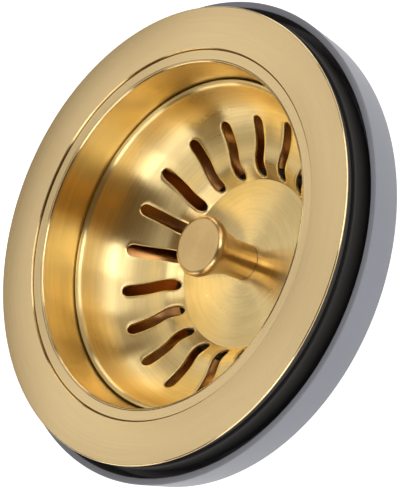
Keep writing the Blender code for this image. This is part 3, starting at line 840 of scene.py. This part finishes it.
class DRAIN_OT_finishes(bpy.types.Operator):
    """Make the finishes that the pieces share"""

    bl_idname = "drain.finishes"
    bl_label = "Finishes"

    def execute(self, context):
        sizes, colours = context.scene.drain_sizes, context.scene.drain_colours
        rings, grain, masks = brushed_rings(), fine_grain(), place_masks()
        for name, tone, *look in BRUSHED_METALS:
            brushed_metal(rings, name, getattr(colours, tone), *look)
        for name, tone, *look in MOULDED_SKINS:
            moulded(grain, name, getattr(colours, tone), *look)
        flange, basket = find_material("gold flange"), find_material("gold basket")
        # Below the basket's lip the bowl is painted a darker gold, as painted shade in the gap and
        # deep in the bowl
        bowl_shade_height = FACE - sizes.basket_drop - BOWL_SHADE_START
        tint_below(flange, masks, rings, FACE - FACE_DEPTH, FACE_FADE, colours.gold)
        tint_below(flange, masks, rings, bowl_shade_height, BOWL_SHADE_FADE, colours.bowl_shade_gold)
        tint_below(basket, masks, rings, 2 * FACE, FACE_FADE, colours.gold)
        # Thin rings of painted shade darken the creases at the step and at the lip
        step_width = STEP_SLOPE + CREASE_WIDTH
        step_shade_ring = sizes.bowl_radius + sizes.ledge_width - step_width / 2
        lip_shade_ring = sizes.bowl_radius + LIP_ROUND + CREASE_WIDTH / 2
        paint_groove_shade(flange, masks, step_shade_ring, step_width)
        paint_groove_shade(flange, masks, lip_shade_ring, CREASE_WIDTH)
        return {"FINISHED"}


class DRAIN_OT_flange_bowl(bpy.types.Operator):
    """Spin the flange and bowl from one sheet and cut its four openings"""

    bl_idname = "drain.flange_bowl"
    bl_label = "Flange and bowl"

    def execute(self, context):
        sizes = context.scene.drain_sizes
        step = sizes.bowl_radius + sizes.ledge_width
        seat_inner = sizes.seat_radius - SEAT_WIDTH
        recess, recess_drop = seat_inner - RECESS_SLOPE, SEAT_DROP + RECESS_DEPTH
        dish, dish_floor = reach("screw_washer") + DISH_GAP, foot_drop("screw_washer") + HOLE_GAP
        flat = [
            (sizes.flange_radius, 0, FLANGE_EDGE_ROUND),
            (step + STEP_SLOPE, 0, STEP_ROUND),
            (step - STEP_SLOPE, sizes.step_drop, STEP_ROUND),
        ]
        lip_start = sizes.bowl_radius + LIP_ROUND + CREASE_WIDTH
        creased = flat[:2] + [
            (step - STEP_SLOPE, sizes.step_drop + CREASE_DEPTH),
            (step - STEP_SLOPE - CREASE_WIDTH, sizes.step_drop),
            (lip_start, sizes.step_drop),
            (lip_start - LIP_CREASE_WIDTH, sizes.step_drop + LIP_CREASE_DEPTH),
        ]
        bowl = bowl_side(sizes) + [
            (seat_inner, SEAT_DROP, SOFT_ROUND),
            (recess, recess_drop, SOFT_ROUND),
            (dish + DISH_SLOPE, recess_drop, SOFT_ROUND),
            (dish, dish_floor, SOFT_ROUND),
            (SCREW_HOLE, dish_floor, FINE_ROUND),
        ]
        face, above = (
            edge + lip(sizes.bowl_radius, sizes.step_drop, size) + bowl
            for edge, size in ((creased, LIP_ROUND), (flat, LIP_UNDER_ROUND))
        )
        below = underside(above, sizes.bowl_sheet, EDGE_ROUND)
        below[0] = (sizes.flange_radius - FLANGE_UNDERCUT, sizes.bowl_sheet, EDGE_ROUND)
        piece = lathe("flange and bowl", rounded(face + below[::-1]))
        inner = dish + DISH_SLOPE + OPENING_MARGIN
        outer = recess - OPENING_MARGIN
        top, bottom = recess_drop - CUT_OVERRUN, recess_drop + sizes.bowl_sheet + CUT_OVERRUN
        plan = [(outer, top), (outer, bottom), (inner, bottom), (inner, top)]
        cutter = lathe("openings", plan, SMALL_SEGMENTS)
        for angle in (0, pi / 2):
            cross = bar(outer * CUT_LENGTHS, ARM_WIDTH, angle)
            arm = prism("arm", cross, top - CUT_OVERRUN, bottom + CUT_OVERRUN)
            combine(cutter, arm, "DIFFERENCE")
        soften(cutter, OPENING_ROUND, OPENING_STEPS, OPENING_ANGLE)
        combine(piece, cutter, "DIFFERENCE")
        finish(
            piece, "pressed_flange_and_bowl", "gold flange", "root", "flange_bowl")
        return {"FINISHED"}


def basket_face(sizes):
    """The basket's inner face from lip to stud, and where its slots' field starts and ends."""
    wall = sizes.basket_radius - BASKET_LIP_LAND - BASKET_LIP_ROUND
    width, height = wall - sizes.floor_radius, sizes.floor_drop - sizes.basket_drop
    stations = [
        (sizes.floor_radius + width * across, sizes.basket_drop + height * down)
        for across, down in BASKET_STATIONS
    ]
    side = smooth_through(stations, STATION_STEPS)
    crown = []
    for step in range(1, CURVE_STEPS // 2 + 1):
        share = step / (CURVE_STEPS // 2)
        radius = sizes.floor_radius + (STUD_HOLE - sizes.floor_radius) * share
        crown.append((radius, sizes.floor_drop - sizes.floor_crown * (1 - (1 - share) ** 2)))
    upper = lip(wall, sizes.basket_drop, BASKET_LIP_ROUND)[:-1]
    turn = rounded([side[-2], (*side[-1], FLOOR_EDGE_ROUND), crown[0]], closed=False)
    face = [(sizes.basket_radius, sizes.basket_drop)] + upper + side[:-2] + turn + crown[1:]
    slot_end = sizes.floor_radius + width * SLOT_REACH
    edge = slot_end + SLOT_FIELD_EDGE
    start = max(index for index, point in enumerate(face) if point[0] > edge)
    end = len(upper) + len(side)
    return face, start, end, slot_end


def slot_field(sizes, face, start, end, slot_end):
    """One slot and the side round it, from the sheet's upper face through to its lower one."""
    under = offset(face, sizes.basket_sheet)
    half_turn = tau / sizes.slot_count / 2
    half = sizes.slot_width / 2
    outer_centre, inner_centre = slot_end - half, face[end][0] + SLOT_LAND + half
    run = [0]
    for before, after in zip(face[start:end], face[start + 1:end + 1]):
        run.append(run[-1] + hypot(after[0] - before[0], after[1] - before[1]))

    ends, sides = SLOT_END_EDGES, SLOT_SIDE_EDGES

    def spot(radius):
        """The stretch of the face that reaches a radius, and the share of the way along it."""
        for index in range(start, end):
            first, second = face[index][0], face[index + 1][0]
            if second <= radius or index == end - 1:
                return index, min(1, max(0, (first - radius) / (first - second)))

    def length_at(radius):
        """The length along the face at a radius."""
        index, part = spot(radius)
        before, after = run[index - start:index - start + 2]
        return before + part * (after - before)

    def radius_at(share, low, high):
        """The radius at a share of the way along the face between two radii."""
        length = length_at(high) + (length_at(low) - length_at(high)) * share
        for index, (before, after) in enumerate(zip(run, run[1:]), start):
            if after >= length or index == end - 1:
                part = min(1, (length - before) / (after - before))
                return face[index][0] + part * (face[index + 1][0] - face[index][0])

    def border():
        """The field's edge as (radius, angle), outer arc first."""
        angles = [half_turn * (2 * k / ends - 1) for k in range(ends + 1)]
        radii = [radius_at(k / sides, face[end][0], face[start][0]) for k in range(sides + 1)]
        points = [(face[start][0], angle) for angle in angles]
        points += [(radius, half_turn) for radius in radii[1:]]
        points += [(face[end][0], angle) for angle in angles[-2::-1]]
        points += [(radius, -half_turn) for radius in radii[-2:0:-1]]
        return points

    def slot(grow):
        """The slot's edge, grown sideways, in the same order."""
        size = half + grow
        turns = [pi * (k / ends - 1 / 2) for k in range(ends + 1)]
        places = [radius_at(k / sides, inner_centre, outer_centre) for k in range(sides + 1)]
        plan = [(outer_centre + size * cos(turn), size * sin(turn)) for turn in turns]
        plan += [(place, size) for place in places[1:]]
        plan += [(inner_centre - size * cos(turn), size * sin(turn)) for turn in turns[-2::-1]]
        plan += [(place, -size) for place in places[-2:0:-1]]
        return [(hypot(x, y), atan2(y, x)) for x, y in plan]

    def place(radius, angle, depth):
        """A point of the side at a radius, sunk into the sheet."""
        index, part = spot(radius)
        share = depth / sizes.basket_sheet
        out, down = (
            (face[index][k] * (1 - part) + face[index + 1][k] * part) * (1 - share)
            + (under[index][k] * (1 - part) + under[index + 1][k] * part) * share
            for k in (0, 1)
        )
        return (out * cos(angle), out * sin(angle), FACE - down)

    def between(share, grow):
        """A ring between the slot's edge and the field's edge."""
        return [
            (a[0] + (b[0] - a[0]) * share, a[1] + (b[1] - a[1]) * share)
            for a, b in zip(slot(grow), border())
        ]

    rings = [(between(share, SLOT_TOP_ROUND), 0) for share in SLOT_FIELD_RINGS]
    for turn in (0, pi / 6, pi / 3, pi / 2):
        rings.append((slot(SLOT_TOP_ROUND * (1 - sin(turn))), SLOT_TOP_ROUND * (1 - cos(turn))))
    for turn in (pi / 2, pi / 4, 0):
        sunk = sizes.basket_sheet - SLOT_UNDER_ROUND * (1 - cos(turn))
        rings.append((slot(SLOT_UNDER_ROUND * (1 - sin(turn))), sunk))
    for share in SLOT_FIELD_RINGS[::-1]:
        rings.append((between(share, SLOT_UNDER_ROUND), sizes.basket_sheet))

    start_alone()
    count = 2 * (ends + sides)
    bpy.ops.mesh.primitive_circle_add(vertices=count, radius=sizes.slot_width)
    piece = named("slot field")
    edit(piece)
    for _ in rings[1:]:
        bpy.ops.mesh.extrude_region_move()
    bpy.ops.object.mode_set(mode="OBJECT")
    for index, (ring, depth) in enumerate(rings):
        for step, (radius, angle) in enumerate(ring):
            piece.data.vertices[index * count + step].co = place(radius, angle, depth)
    return piece


class DRAIN_OT_basket(bpy.types.Operator):
    """Model one slot of the basket, copy it round, and close it with the lip and the floor"""

    bl_idname = "drain.basket"
    bl_label = "Strainer basket"

    def execute(self, context):
        sizes = context.scene.drain_sizes
        face, start, end, slot_end = basket_face(sizes)
        under = offset(face, sizes.basket_sheet)
        field = slot_field(sizes, face, start, end, slot_end)
        copy_round(field, sizes.slot_count)
        radius, drop = face[0]
        foot = drop + sizes.basket_sheet
        rim = face[start::-1][:-1] + [
            (radius - EDGE_ROUND, drop),
            (radius, drop + EDGE_ROUND),
            (radius, foot - EDGE_ROUND),
            (radius - EDGE_ROUND, foot),
        ] + under[1:start + 1]
        floor = face[end:] + under[:end - 1:-1]
        around = sizes.slot_count * SLOT_END_EDGES
        parts = [
            lathe(name, outline, around, closed=False)
            for name, outline in (("basket lip", rim), ("basket floor", floor))
        ]
        piece = join([*parts, field])
        turn_about_axis(piece, SLOT_PHASE)
        finish(piece, "strainer_basket", "gold basket", "basket", "basket")
        return {"FINISHED"}


class DRAIN_OT_knob(bpy.types.Operator):
    """Turn the knob with its flared neck, and its threaded stud"""

    bl_idname = "drain.knob"
    bl_label = "Knob and stud"

    def execute(self, context):
        sizes = context.scene.drain_sizes
        top, foot = top_drop("knob"), foot_drop("knob") + KNOB_FOOT_EXTRA
        neck_top = top + KNOB_EDGE_ROUND + KNOB_HEAD_SIDE
        overhang = sizes.knob_radius - sizes.stem_radius
        stud, stud_top, stud_foot = measure("knob_stud")
        bore_end = stud_top - STUD_END_GAP
        stations = [
            (sizes.stem_radius + overhang * across, neck_top + (KNOB_NECK_DROP - neck_top) * down)
            for across, down in KNOB_STATIONS
        ]
        outline = [
            (0, top),
            *((sizes.knob_radius * share, top) for share in KNOB_FACE_RINGS),
            (sizes.knob_radius, top, KNOB_EDGE_ROUND),
            *smooth_through(stations, STATION_STEPS),
            (sizes.stem_radius, foot, FINE_ROUND),
            (STUD_HOLE, foot, FINE_ROUND),
            (STUD_HOLE, bore_end),
            (0, bore_end),
        ]
        piece = lathe("knob", rounded(outline))
        finish(piece, "turned_knob", "gold knob", "basket", "knob")
        core = stud - STUD_THREAD_DEPTH
        wall = rows(core, stud_top + EDGE_ROUND, stud_foot - EDGE_ROUND)
        piece = lathe("stud", [(0, stud_top), *wall, (0, stud_foot)], SMALL_SEGMENTS // 2)
        raise_thread(piece, core, stud_top, stud_foot, STUD_PITCH, STUD_THREAD_DEPTH)
        finish(piece, "threaded_stud", "plain steel", "basket", "knob_stud")
        return {"FINISHED"}


class DRAIN_OT_stopper(bpy.types.Operator):
    """Spin the rubber stopper with its sealing lip, and the steel plate that holds it"""

    bl_idname = "drain.stopper"
    bl_label = "Stopper and plate"

    def execute(self, context):
        radius, top, foot = measure("stopper_seal")
        outline = [
            (STUD_HOLE, top, FINE_ROUND),
            (radius - SOFT_ROUND, top, SOFT_ROUND / 2),
            (radius, top + STOPPER_SIDE, SOFT_ROUND),
            (radius, foot - STOPPER_SIDE, SOFT_ROUND),
            *((radius - inset, foot - rise, EDGE_ROUND) for inset, rise in STOPPER_FOOT),
            (STUD_HOLE, foot, FINE_ROUND),
        ]
        piece = lathe("stopper", rounded(outline))
        finish(
            piece, "rubber_stopper", "stopper rubber", "basket", "stopper_seal")
        radius, top, foot = measure("backing_plate")
        outline = [
            (STUD_HOLE, top, FINE_ROUND),
            (radius, top, EDGE_ROUND),
            (radius, foot, SOFT_ROUND),
            *((radius * share, foot - rise, EDGE_ROUND) for share, rise in PLATE_GROOVE),
            (STUD_HOLE, foot, FINE_ROUND),
        ]
        piece = lathe("plate", rounded(outline))
        finish(
            piece, "steel_backing_plate", "plain steel", "basket", "backing_plate")
        return {"FINISHED"}


class DRAIN_OT_seals(bpy.types.Operator):
    """Spin the flat washer under the flange and the thick gasket in the body's cup"""

    bl_idname = "drain.seals"
    bl_label = "Flange washer and gasket"

    def execute(self, context):
        sizes = context.scene.drain_sizes
        inner = sizes.bowl_radius + sizes.ledge_width + STEP_SLOPE + sizes.bowl_sheet + HOLE_GAP
        piece = flat_ring("washer", "flange_seal", inner, EDGE_ROUND, SOFT_ROUND)
        finish(
            piece, "flat_flange_washer", "washer rubber", "root", "flange_seal")
        radius, top, foot = measure("body_gasket")
        inner = sizes.bowl_radius + sizes.bowl_sheet + GASKET_GAP
        shoulder = (radius - GASKET_SHOULDER[0], foot - GASKET_SHOULDER[1])
        outline = [
            (inner, foot, SOFT_ROUND),
            (inner, top, SOFT_ROUND),
            (radius, top, SOFT_ROUND),
            *arc(shoulder, GASKET_SHOULDER, 0, pi / 2, CURVE_STEPS // 2),
        ]
        piece = lathe("gasket", rounded(outline))
        finish(
            piece, "thick_cup_gasket", "gasket rubber", "root", "body_gasket")
        return {"FINISHED"}


class DRAIN_OT_body(bpy.types.Operator):
    """Spin the plastic body, and add its ribs, hub, webs and outlet thread"""

    bl_idname = "drain.body"
    bl_label = "Plastic body"

    def execute(self, context):
        sizes = context.scene.drain_sizes
        rim, rim_top, end = measure("drain_body")
        inner_side = offset(bowl_side(sizes), sizes.bowl_sheet + BODY_GAP)
        outer_side = offset(inner_side, BODY_WALL)
        cup_floor = foot_drop("body_gasket") + HOLE_GAP
        cup_foot = cup_floor + CUP_FLOOR_THICKNESS
        recess = sizes.seat_radius - SEAT_WIDTH - RECESS_SLOPE
        neck_drop = SEAT_DROP + RECESS_DEPTH + sizes.bowl_sheet + THROAT_GAP
        neck = recess + sizes.bowl_sheet + THROAT_GAP
        bore = SPIGOT_RADIUS - SPIGOT_WALL
        cup = rim - RIM_LIP_WIDTH
        taper_at_floor = RIM_TAPER * (cup_floor - rim_top) / (cup_foot - rim_top)
        thread_top, thread_end = neck_drop + THROAT_TAPER, end - SPIGOT_CHAMFER
        outline = [
            (rim, rim_top, RIM_ROUND),
            (rim - RIM_TAPER, cup_foot, SOFT_ROUND),
            (outer_side[0][0], cup_foot, SOFT_ROUND),
            *(point for point in outer_side if point[1] > cup_foot + SOFT_ROUND),
            (neck + BODY_WALL, outer_side[-1][1], NECK_ROUND),
            (neck + BODY_WALL, neck_drop, EDGE_ROUND),
            *rows(SPIGOT_RADIUS, thread_top, thread_end),
            (SPIGOT_RADIUS - SPIGOT_CHAMFER, end),
            (bore, end, EDGE_ROUND),
            (bore, thread_top),
            (neck, neck_drop),
            (neck, inner_side[-1][1], NECK_ROUND),
            *(point for point in inner_side[::-1] if point[1] > cup_floor + SOFT_ROUND),
            (inner_side[0][0], cup_floor, EDGE_ROUND),
            (cup - taper_at_floor, cup_floor, SOFT_ROUND),
            (cup, rim_top, EDGE_ROUND),
        ]
        piece = lathe("body", rounded(outline))
        raise_thread(piece, SPIGOT_RADIUS, thread_top, end, sizes.thread_pitch, sizes.thread_depth)
        combine(piece, self.ribs(sizes, offset(inner_side, BODY_WALL / 2), cup_foot), "UNION")
        combine(piece, self.hub(end), "UNION")
        finish(piece, "plastic_drain_body", "grey plastic", "root", "drain_body")
        return {"FINISHED"}

    def ribs(self, sizes, root, cup_foot):
        """One gusset under the cup, copied round."""
        wall = root[0][0]
        tip = wall + (sizes.rim_radius - RIM_TAPER - wall) * RIB_REACH
        top = cup_foot - CUP_FLOOR_THICKNESS / 2
        below = [point for point in root if cup_foot < point[1]]
        last = int(len(below) * RIB_DOWN)
        profile = [(wall, top), (tip, top), (tip, cup_foot)] + below[last::-1]
        places = [(radius, -RIB_THICKNESS / 2, FACE - drop) for radius, drop in profile]
        rib = raised("rib", places, (0, RIB_THICKNESS, 0))
        soften(rib, EDGE_ROUND)
        turn_about_axis(rib, pi / RIB_COUNT)
        copy_round(rib, RIB_COUNT)
        return rib

    def hub(self, end):
        """The boss for the nut on two crossing webs, with the nut's pocket and the screw's hole."""
        across = 2 * HEX_FLATS * reach("insert_nut") + 2 * HOLE_GAP
        pocket_top = top_drop("insert_nut") - GROOVE_GAP
        top, radius = pocket_top - HUB_FLOOR, across / 2 + HUB_WALL
        outline = [
            (SCREW_HOLE, top, FINE_ROUND),
            (radius, top, SOFT_ROUND),
            (radius, end, SOFT_ROUND),
            (SCREW_HOLE, end),
        ]
        boss = lathe("hub", rounded(outline), SMALL_SEGMENTS)
        length = 2 * SPIGOT_RADIUS - SPIGOT_WALL
        webs, crossing = (
            prism("web", bar(length, WEB_THICKNESS, angle), top, end - SPIGOT_CHAMFER)
            for angle in (0, pi / 2)
        )
        combine(webs, crossing, "UNION")
        middle = prism("middle", hexagon(radius), top - CUT_OVERRUN, end + CUT_OVERRUN)
        combine(webs, middle, "DIFFERENCE")
        soften(webs, EDGE_ROUND)
        combine(boss, webs, "UNION")
        combine(boss, prism("pocket", hexagon(across), pocket_top, end + CUT_OVERRUN), "DIFFERENCE")
        return boss


class DRAIN_OT_clamp(bpy.types.Operator):
    """Model the slotted clamp screw, its washer and its nut"""

    bl_idname = "drain.clamp"
    bl_label = "Clamp screw, washer and nut"

    def execute(self, context):
        head, top, end = measure("clamp_screw")
        washer_top, washer_foot = top_drop("screw_washer"), foot_drop("screw_washer")
        core = SCREW_SHANK - SCREW_THREAD_DEPTH
        head_foot = washer_top - GROOVE_GAP
        outline = [
            (SCREW_BORE, end, FINE_ROUND),
            (SCREW_BORE, top, SOFT_ROUND),
            (head, top, SCREW_HEAD_ROUND),
            (head, head_foot, EDGE_ROUND),
            (SCREW_SHANK, head_foot),
            (SCREW_SHANK, washer_foot),
            *rows(core, washer_foot + EDGE_ROUND, end),
        ]
        piece = lathe("screw", rounded(outline), SMALL_SEGMENTS)
        thread_end = end + THREAD_ROW
        raise_thread(piece, core, washer_foot, thread_end, SCREW_PITCH, SCREW_THREAD_DEPTH)
        plan = bar(head * CUT_LENGTHS, SCREW_SLOT_WIDTH, pi / 4)
        slot = prism("slot", plan, top - CUT_OVERRUN, top + SCREW_SLOT_DEPTH)
        combine(piece, slot, "DIFFERENCE")
        finish(piece, "slotted_clamp_screw", "plain steel", "root", "clamp_screw")
        piece = flat_ring(
            "head washer", "screw_washer", SCREW_HOLE, FINE_ROUND, FINE_ROUND, SMALL_SEGMENTS)
        finish(piece, "flat_head_washer", "plain steel", "root", "screw_washer")
        corner, nut_top, nut_foot = measure("insert_nut")
        drops = (nut_top, nut_top + NUT_BEVEL, nut_foot - NUT_BEVEL, nut_foot)
        piece = six_sided("nut", SCREW_HOLE, corner, drops, EDGE_ROUND)
        finish(piece, "hexagon_nut", "yellow brass", "root", "insert_nut")
        return {"FINISHED"}


class DRAIN_OT_catch(bpy.types.Operator):
    """Model the catch pin with its hexagon collar, and the rubber ring in its groove"""

    bl_idname = "drain.catch"
    bl_label = "Catch pin and ring"

    def execute(self, context):
        ring, ring_top, ring_foot = measure("catch_ring")
        corner, top, tip = measure("catch_pin")
        half = (ring_foot - ring_top) / 2
        groove = ring - 2 * half - GROOVE_GAP
        foot = top + PIN_COLLAR_HEIGHT
        bore_end = foot_drop("knob_stud") + GROOVE_GAP
        outline = [
            (STUD_HOLE, top, EDGE_ROUND),
            (PIN_RADIUS + SOFT_ROUND, top),
            (PIN_RADIUS + SOFT_ROUND, foot - EDGE_ROUND),
            (PIN_RADIUS, foot - EDGE_ROUND),
            (PIN_RADIUS, ring_top - GROOVE_GAP, FINE_ROUND),
            (groove, ring_top - GROOVE_GAP),
            (groove, ring_foot + GROOVE_GAP),
            (PIN_RADIUS, ring_foot + GROOVE_GAP, FINE_ROUND),
            (PIN_RADIUS, tip, PIN_TIP_ROUND),
            (0, tip),
            (0, bore_end),
            (STUD_HOLE, bore_end),
        ]
        piece = lathe("pin", rounded(outline), SMALL_SEGMENTS)
        drops = (top + FINE_ROUND, top + PIN_COLLAR_BEVEL, foot - PIN_COLLAR_BEVEL, foot)
        collar = six_sided("collar", PIN_RADIUS - FINE_ROUND, corner, drops)
        combine(piece, collar, "UNION")
        finish(piece, "hexagon_catch_pin", "plain steel", "catch", "catch_pin")
        start_alone()
        bpy.ops.mesh.primitive_torus_add(
            location=(0, 0, FACE - ring_top - half), major_radius=ring - half, minor_radius=half,
            major_segments=SMALL_SEGMENTS, minor_segments=SMALL_SEGMENTS // 6)
        piece = settle(bpy.context.object)
        finish(piece, "catch_o_ring", "washer rubber", "catch", "catch_ring")
        return {"FINISHED"}


# Stage
CAMERA_PLACE = (0.0, -0.4461751, 0.4542283)
CAMERA_AIM = (0.0, -0.00598, 0.03996)
CAMERA_ROLL = -1.213494
CAMERA_LENS = 188.843
SENSOR_HEIGHT = 36
FLOOR_SIZE = 12.0
FLOOR_GAP = 0.0001
FLOOR_PATCHES = (3.0, 2.0)
FLOOR_ROUGHNESS = (0.6, 0.7)
FLOOR_GLOW = 0.75
ROOM_GLOW = 0.1
ROOM_TONE = (1.0, 0.66, 0.35)
# How far the camera's line of sight leans towards the front, which turns the lamps' sides
SIGHT_SLOPE = 0.7
LAMP_DISTANCE = 1.0
# Name, bearing and elevation in degrees, width, height and radiance
LAMPS = (
    ("left key softbox", 225.8, 38, 0.326, 0.70, 2.7),
    ("left key strip", 230.1, 9, 0.376, 0.34, 3.0),
    ("left fill softbox", 198.8, 38, 0.375, 0.70, 1.6),
    ("left fill strip", 206.1, 9, 0.446, 0.34, 2.1),
    ("left back card", 150.3, 20, 0.441, 0.40, 2.3),
    ("right key softbox", 303.0, 38, 0.331, 0.70, 3.6),
    ("right key strip", 299.8, 9, 0.379, 0.34, 0.8),
    ("right fill softbox", 330.1, 38, 0.388, 0.70, 1.75),
    ("right fill strip", 324.1, 9, 0.454, 0.34, 2.3),
    ("right side card", 353.4, 26, 0.393, 0.60, 0.5),
    ("right back card", 28.4, 20, 0.487, 0.40, 2.2),
    ("back softbox", 90.0, 45, 0.700, 0.35, 0.87),
    ("overhead softbox", 90.0, 68, 1.000, 0.38, 0.88),
)


class DRAIN_OT_stage(bpy.types.Operator):
    """Lay the floor, hang the lamps and set up the camera"""

    bl_idname = "drain.stage"
    bl_label = "Floor, lamps and camera"

    def execute(self, context):
        scene = context.scene
        start_alone()
        bpy.ops.mesh.primitive_plane_add(size=FLOOR_SIZE, location=(0, 0, -FLOOR_GAP))
        floor = settle(named("floor"))
        floor.data.materials.append(self.floor_finish(scene.drain_colours.floor))
        for lamp in LAMPS:
            self.lamp(*lamp)
        self.world(scene)
        self.camera(scene)
        scene.view_settings.view_transform = "Standard"
        return {"FINISHED"}

    def floor_finish(self, tone):
        """A pale floor that shows as white but keeps the drain's shadow."""
        material, nodes, shader, place = new_material("pale floor")
        shader.inputs["Base Color"].default_value = (*tone, 1)
        patches = nodes.noise(place, *FLOOR_PATCHES)
        rough = nodes.ranged(patches.outputs[0], *FLOOR_ROUGHNESS)
        nodes.feed(rough, shader.inputs["Roughness"])
        path = nodes.add("ShaderNodeLightPath").outputs
        seen = nodes.math("MAXIMUM", path["Is Camera Ray"], path["Is Glossy Ray"])
        seen = nodes.math("MAXIMUM", seen, path["Is Transmission Ray"])
        shader.inputs["Emission Color"].default_value = (1, 1, 1, 1)
        glow = nodes.math("MULTIPLY", seen, FLOOR_GLOW)
        nodes.feed(glow, shader.inputs["Emission Strength"])
        return material

    def lamp(self, name, bearing, elevation, width, height, radiance):
        """A soft lamp, in degrees, whose sides follow the shine of the round brushing."""
        turn, rise = radians(bearing), radians(elevation)
        away = Vector((cos(turn) * cos(rise), sin(turn) * cos(rise), sin(rise)))
        place = away * LAMP_DISTANCE + Vector((0, 0, FACE))
        bpy.ops.object.light_add(type="AREA", location=place)
        lamp = bpy.context.object
        lamp.name = name
        lamp.data.shape = "RECTANGLE"
        lamp.data.size, lamp.data.size_y = width, height
        lamp.data.energy = pi * width * height * radiance
        brush = Vector((SIGHT_SLOPE - away.y, away.x, 0)).normalized()
        across = (brush - away * brush.dot(away)).normalized()
        lamp.rotation_euler = Matrix((across, away.cross(across), away)).transposed().to_euler()

    def world(self, scene):
        """A dim and warm room round the lamps."""
        scene.world = bpy.data.worlds.new("studio")
        scene.world.use_nodes = True
        light = scene.world.node_tree.nodes["Background"].inputs
        light["Color"].default_value = (*ROOM_TONE, 1)
        light["Strength"].default_value = ROOM_GLOW

    def camera(self, scene):
        """The camera of the product view, rolled on its side."""
        ahead = (Vector(CAMERA_AIM) - Vector(CAMERA_PLACE)).normalized()
        right = ahead.cross(Vector((0, 0, 1))).normalized()
        above = right.cross(ahead)
        side = right * cos(CAMERA_ROLL) + above * sin(CAMERA_ROLL)
        up = above * cos(CAMERA_ROLL) - right * sin(CAMERA_ROLL)
        bpy.ops.object.camera_add(location=CAMERA_PLACE)
        camera = bpy.context.object
        camera.rotation_euler = Matrix((side, up, -ahead)).transposed().to_euler()
        camera.data.sensor_fit = "VERTICAL"
        camera.data.sensor_height = SENSOR_HEIGHT
        camera.data.lens = CAMERA_LENS
        scene.camera = camera


OPERATORS = (
    DRAIN_OT_finishes,
    DRAIN_OT_flange_bowl,
    DRAIN_OT_basket,
    DRAIN_OT_knob,
    DRAIN_OT_stopper,
    DRAIN_OT_seals,
    DRAIN_OT_body,
    DRAIN_OT_clamp,
    DRAIN_OT_catch,
    DRAIN_OT_stage,
)


class DRAIN_PT_pieces(bpy.types.Panel):
    """Lists the drain's pieces in the sidebar"""

    bl_label = "Basket Drain"
    bl_idname = "DRAIN_PT_pieces"
    bl_space_type = "VIEW_3D"
    bl_region_type = "UI"
    bl_category = "Drain"

    def draw(self, context):
        for operator in OPERATORS:
            self.layout.operator(operator.bl_idname, text=operator.bl_label)
        for group in (context.scene.drain_sizes, context.scene.drain_colours):
            for name in group.__annotations__:
                self.layout.prop(group, name)


CLASSES = (DrainSizes, DrainColours, *OPERATORS, DRAIN_PT_pieces)


def register():
    """Make the add-on's classes and settings known."""
    for item in CLASSES:
        bpy.utils.register_class(item)
    bpy.types.Scene.drain_sizes = PointerProperty(type=DrainSizes)
    bpy.types.Scene.drain_colours = PointerProperty(type=DrainColours)


def unregister():
    """Take the add-on's classes and settings away."""
    del bpy.types.Scene.drain_colours
    del bpy.types.Scene.drain_sizes
    for item in reversed(CLASSES):
        bpy.utils.unregister_class(item)


def main():
    """Model every piece."""
    register()
    bpy.ops.drain.finishes()
    bpy.ops.drain.flange_bowl()
    bpy.ops.drain.basket()
    bpy.ops.drain.knob()
    bpy.ops.drain.stopper()
    bpy.ops.drain.seals()
    bpy.ops.drain.body()
    bpy.ops.drain.clamp()
    bpy.ops.drain.catch()
    bpy.ops.drain.stage()


if __name__ == "__main__":
    main()
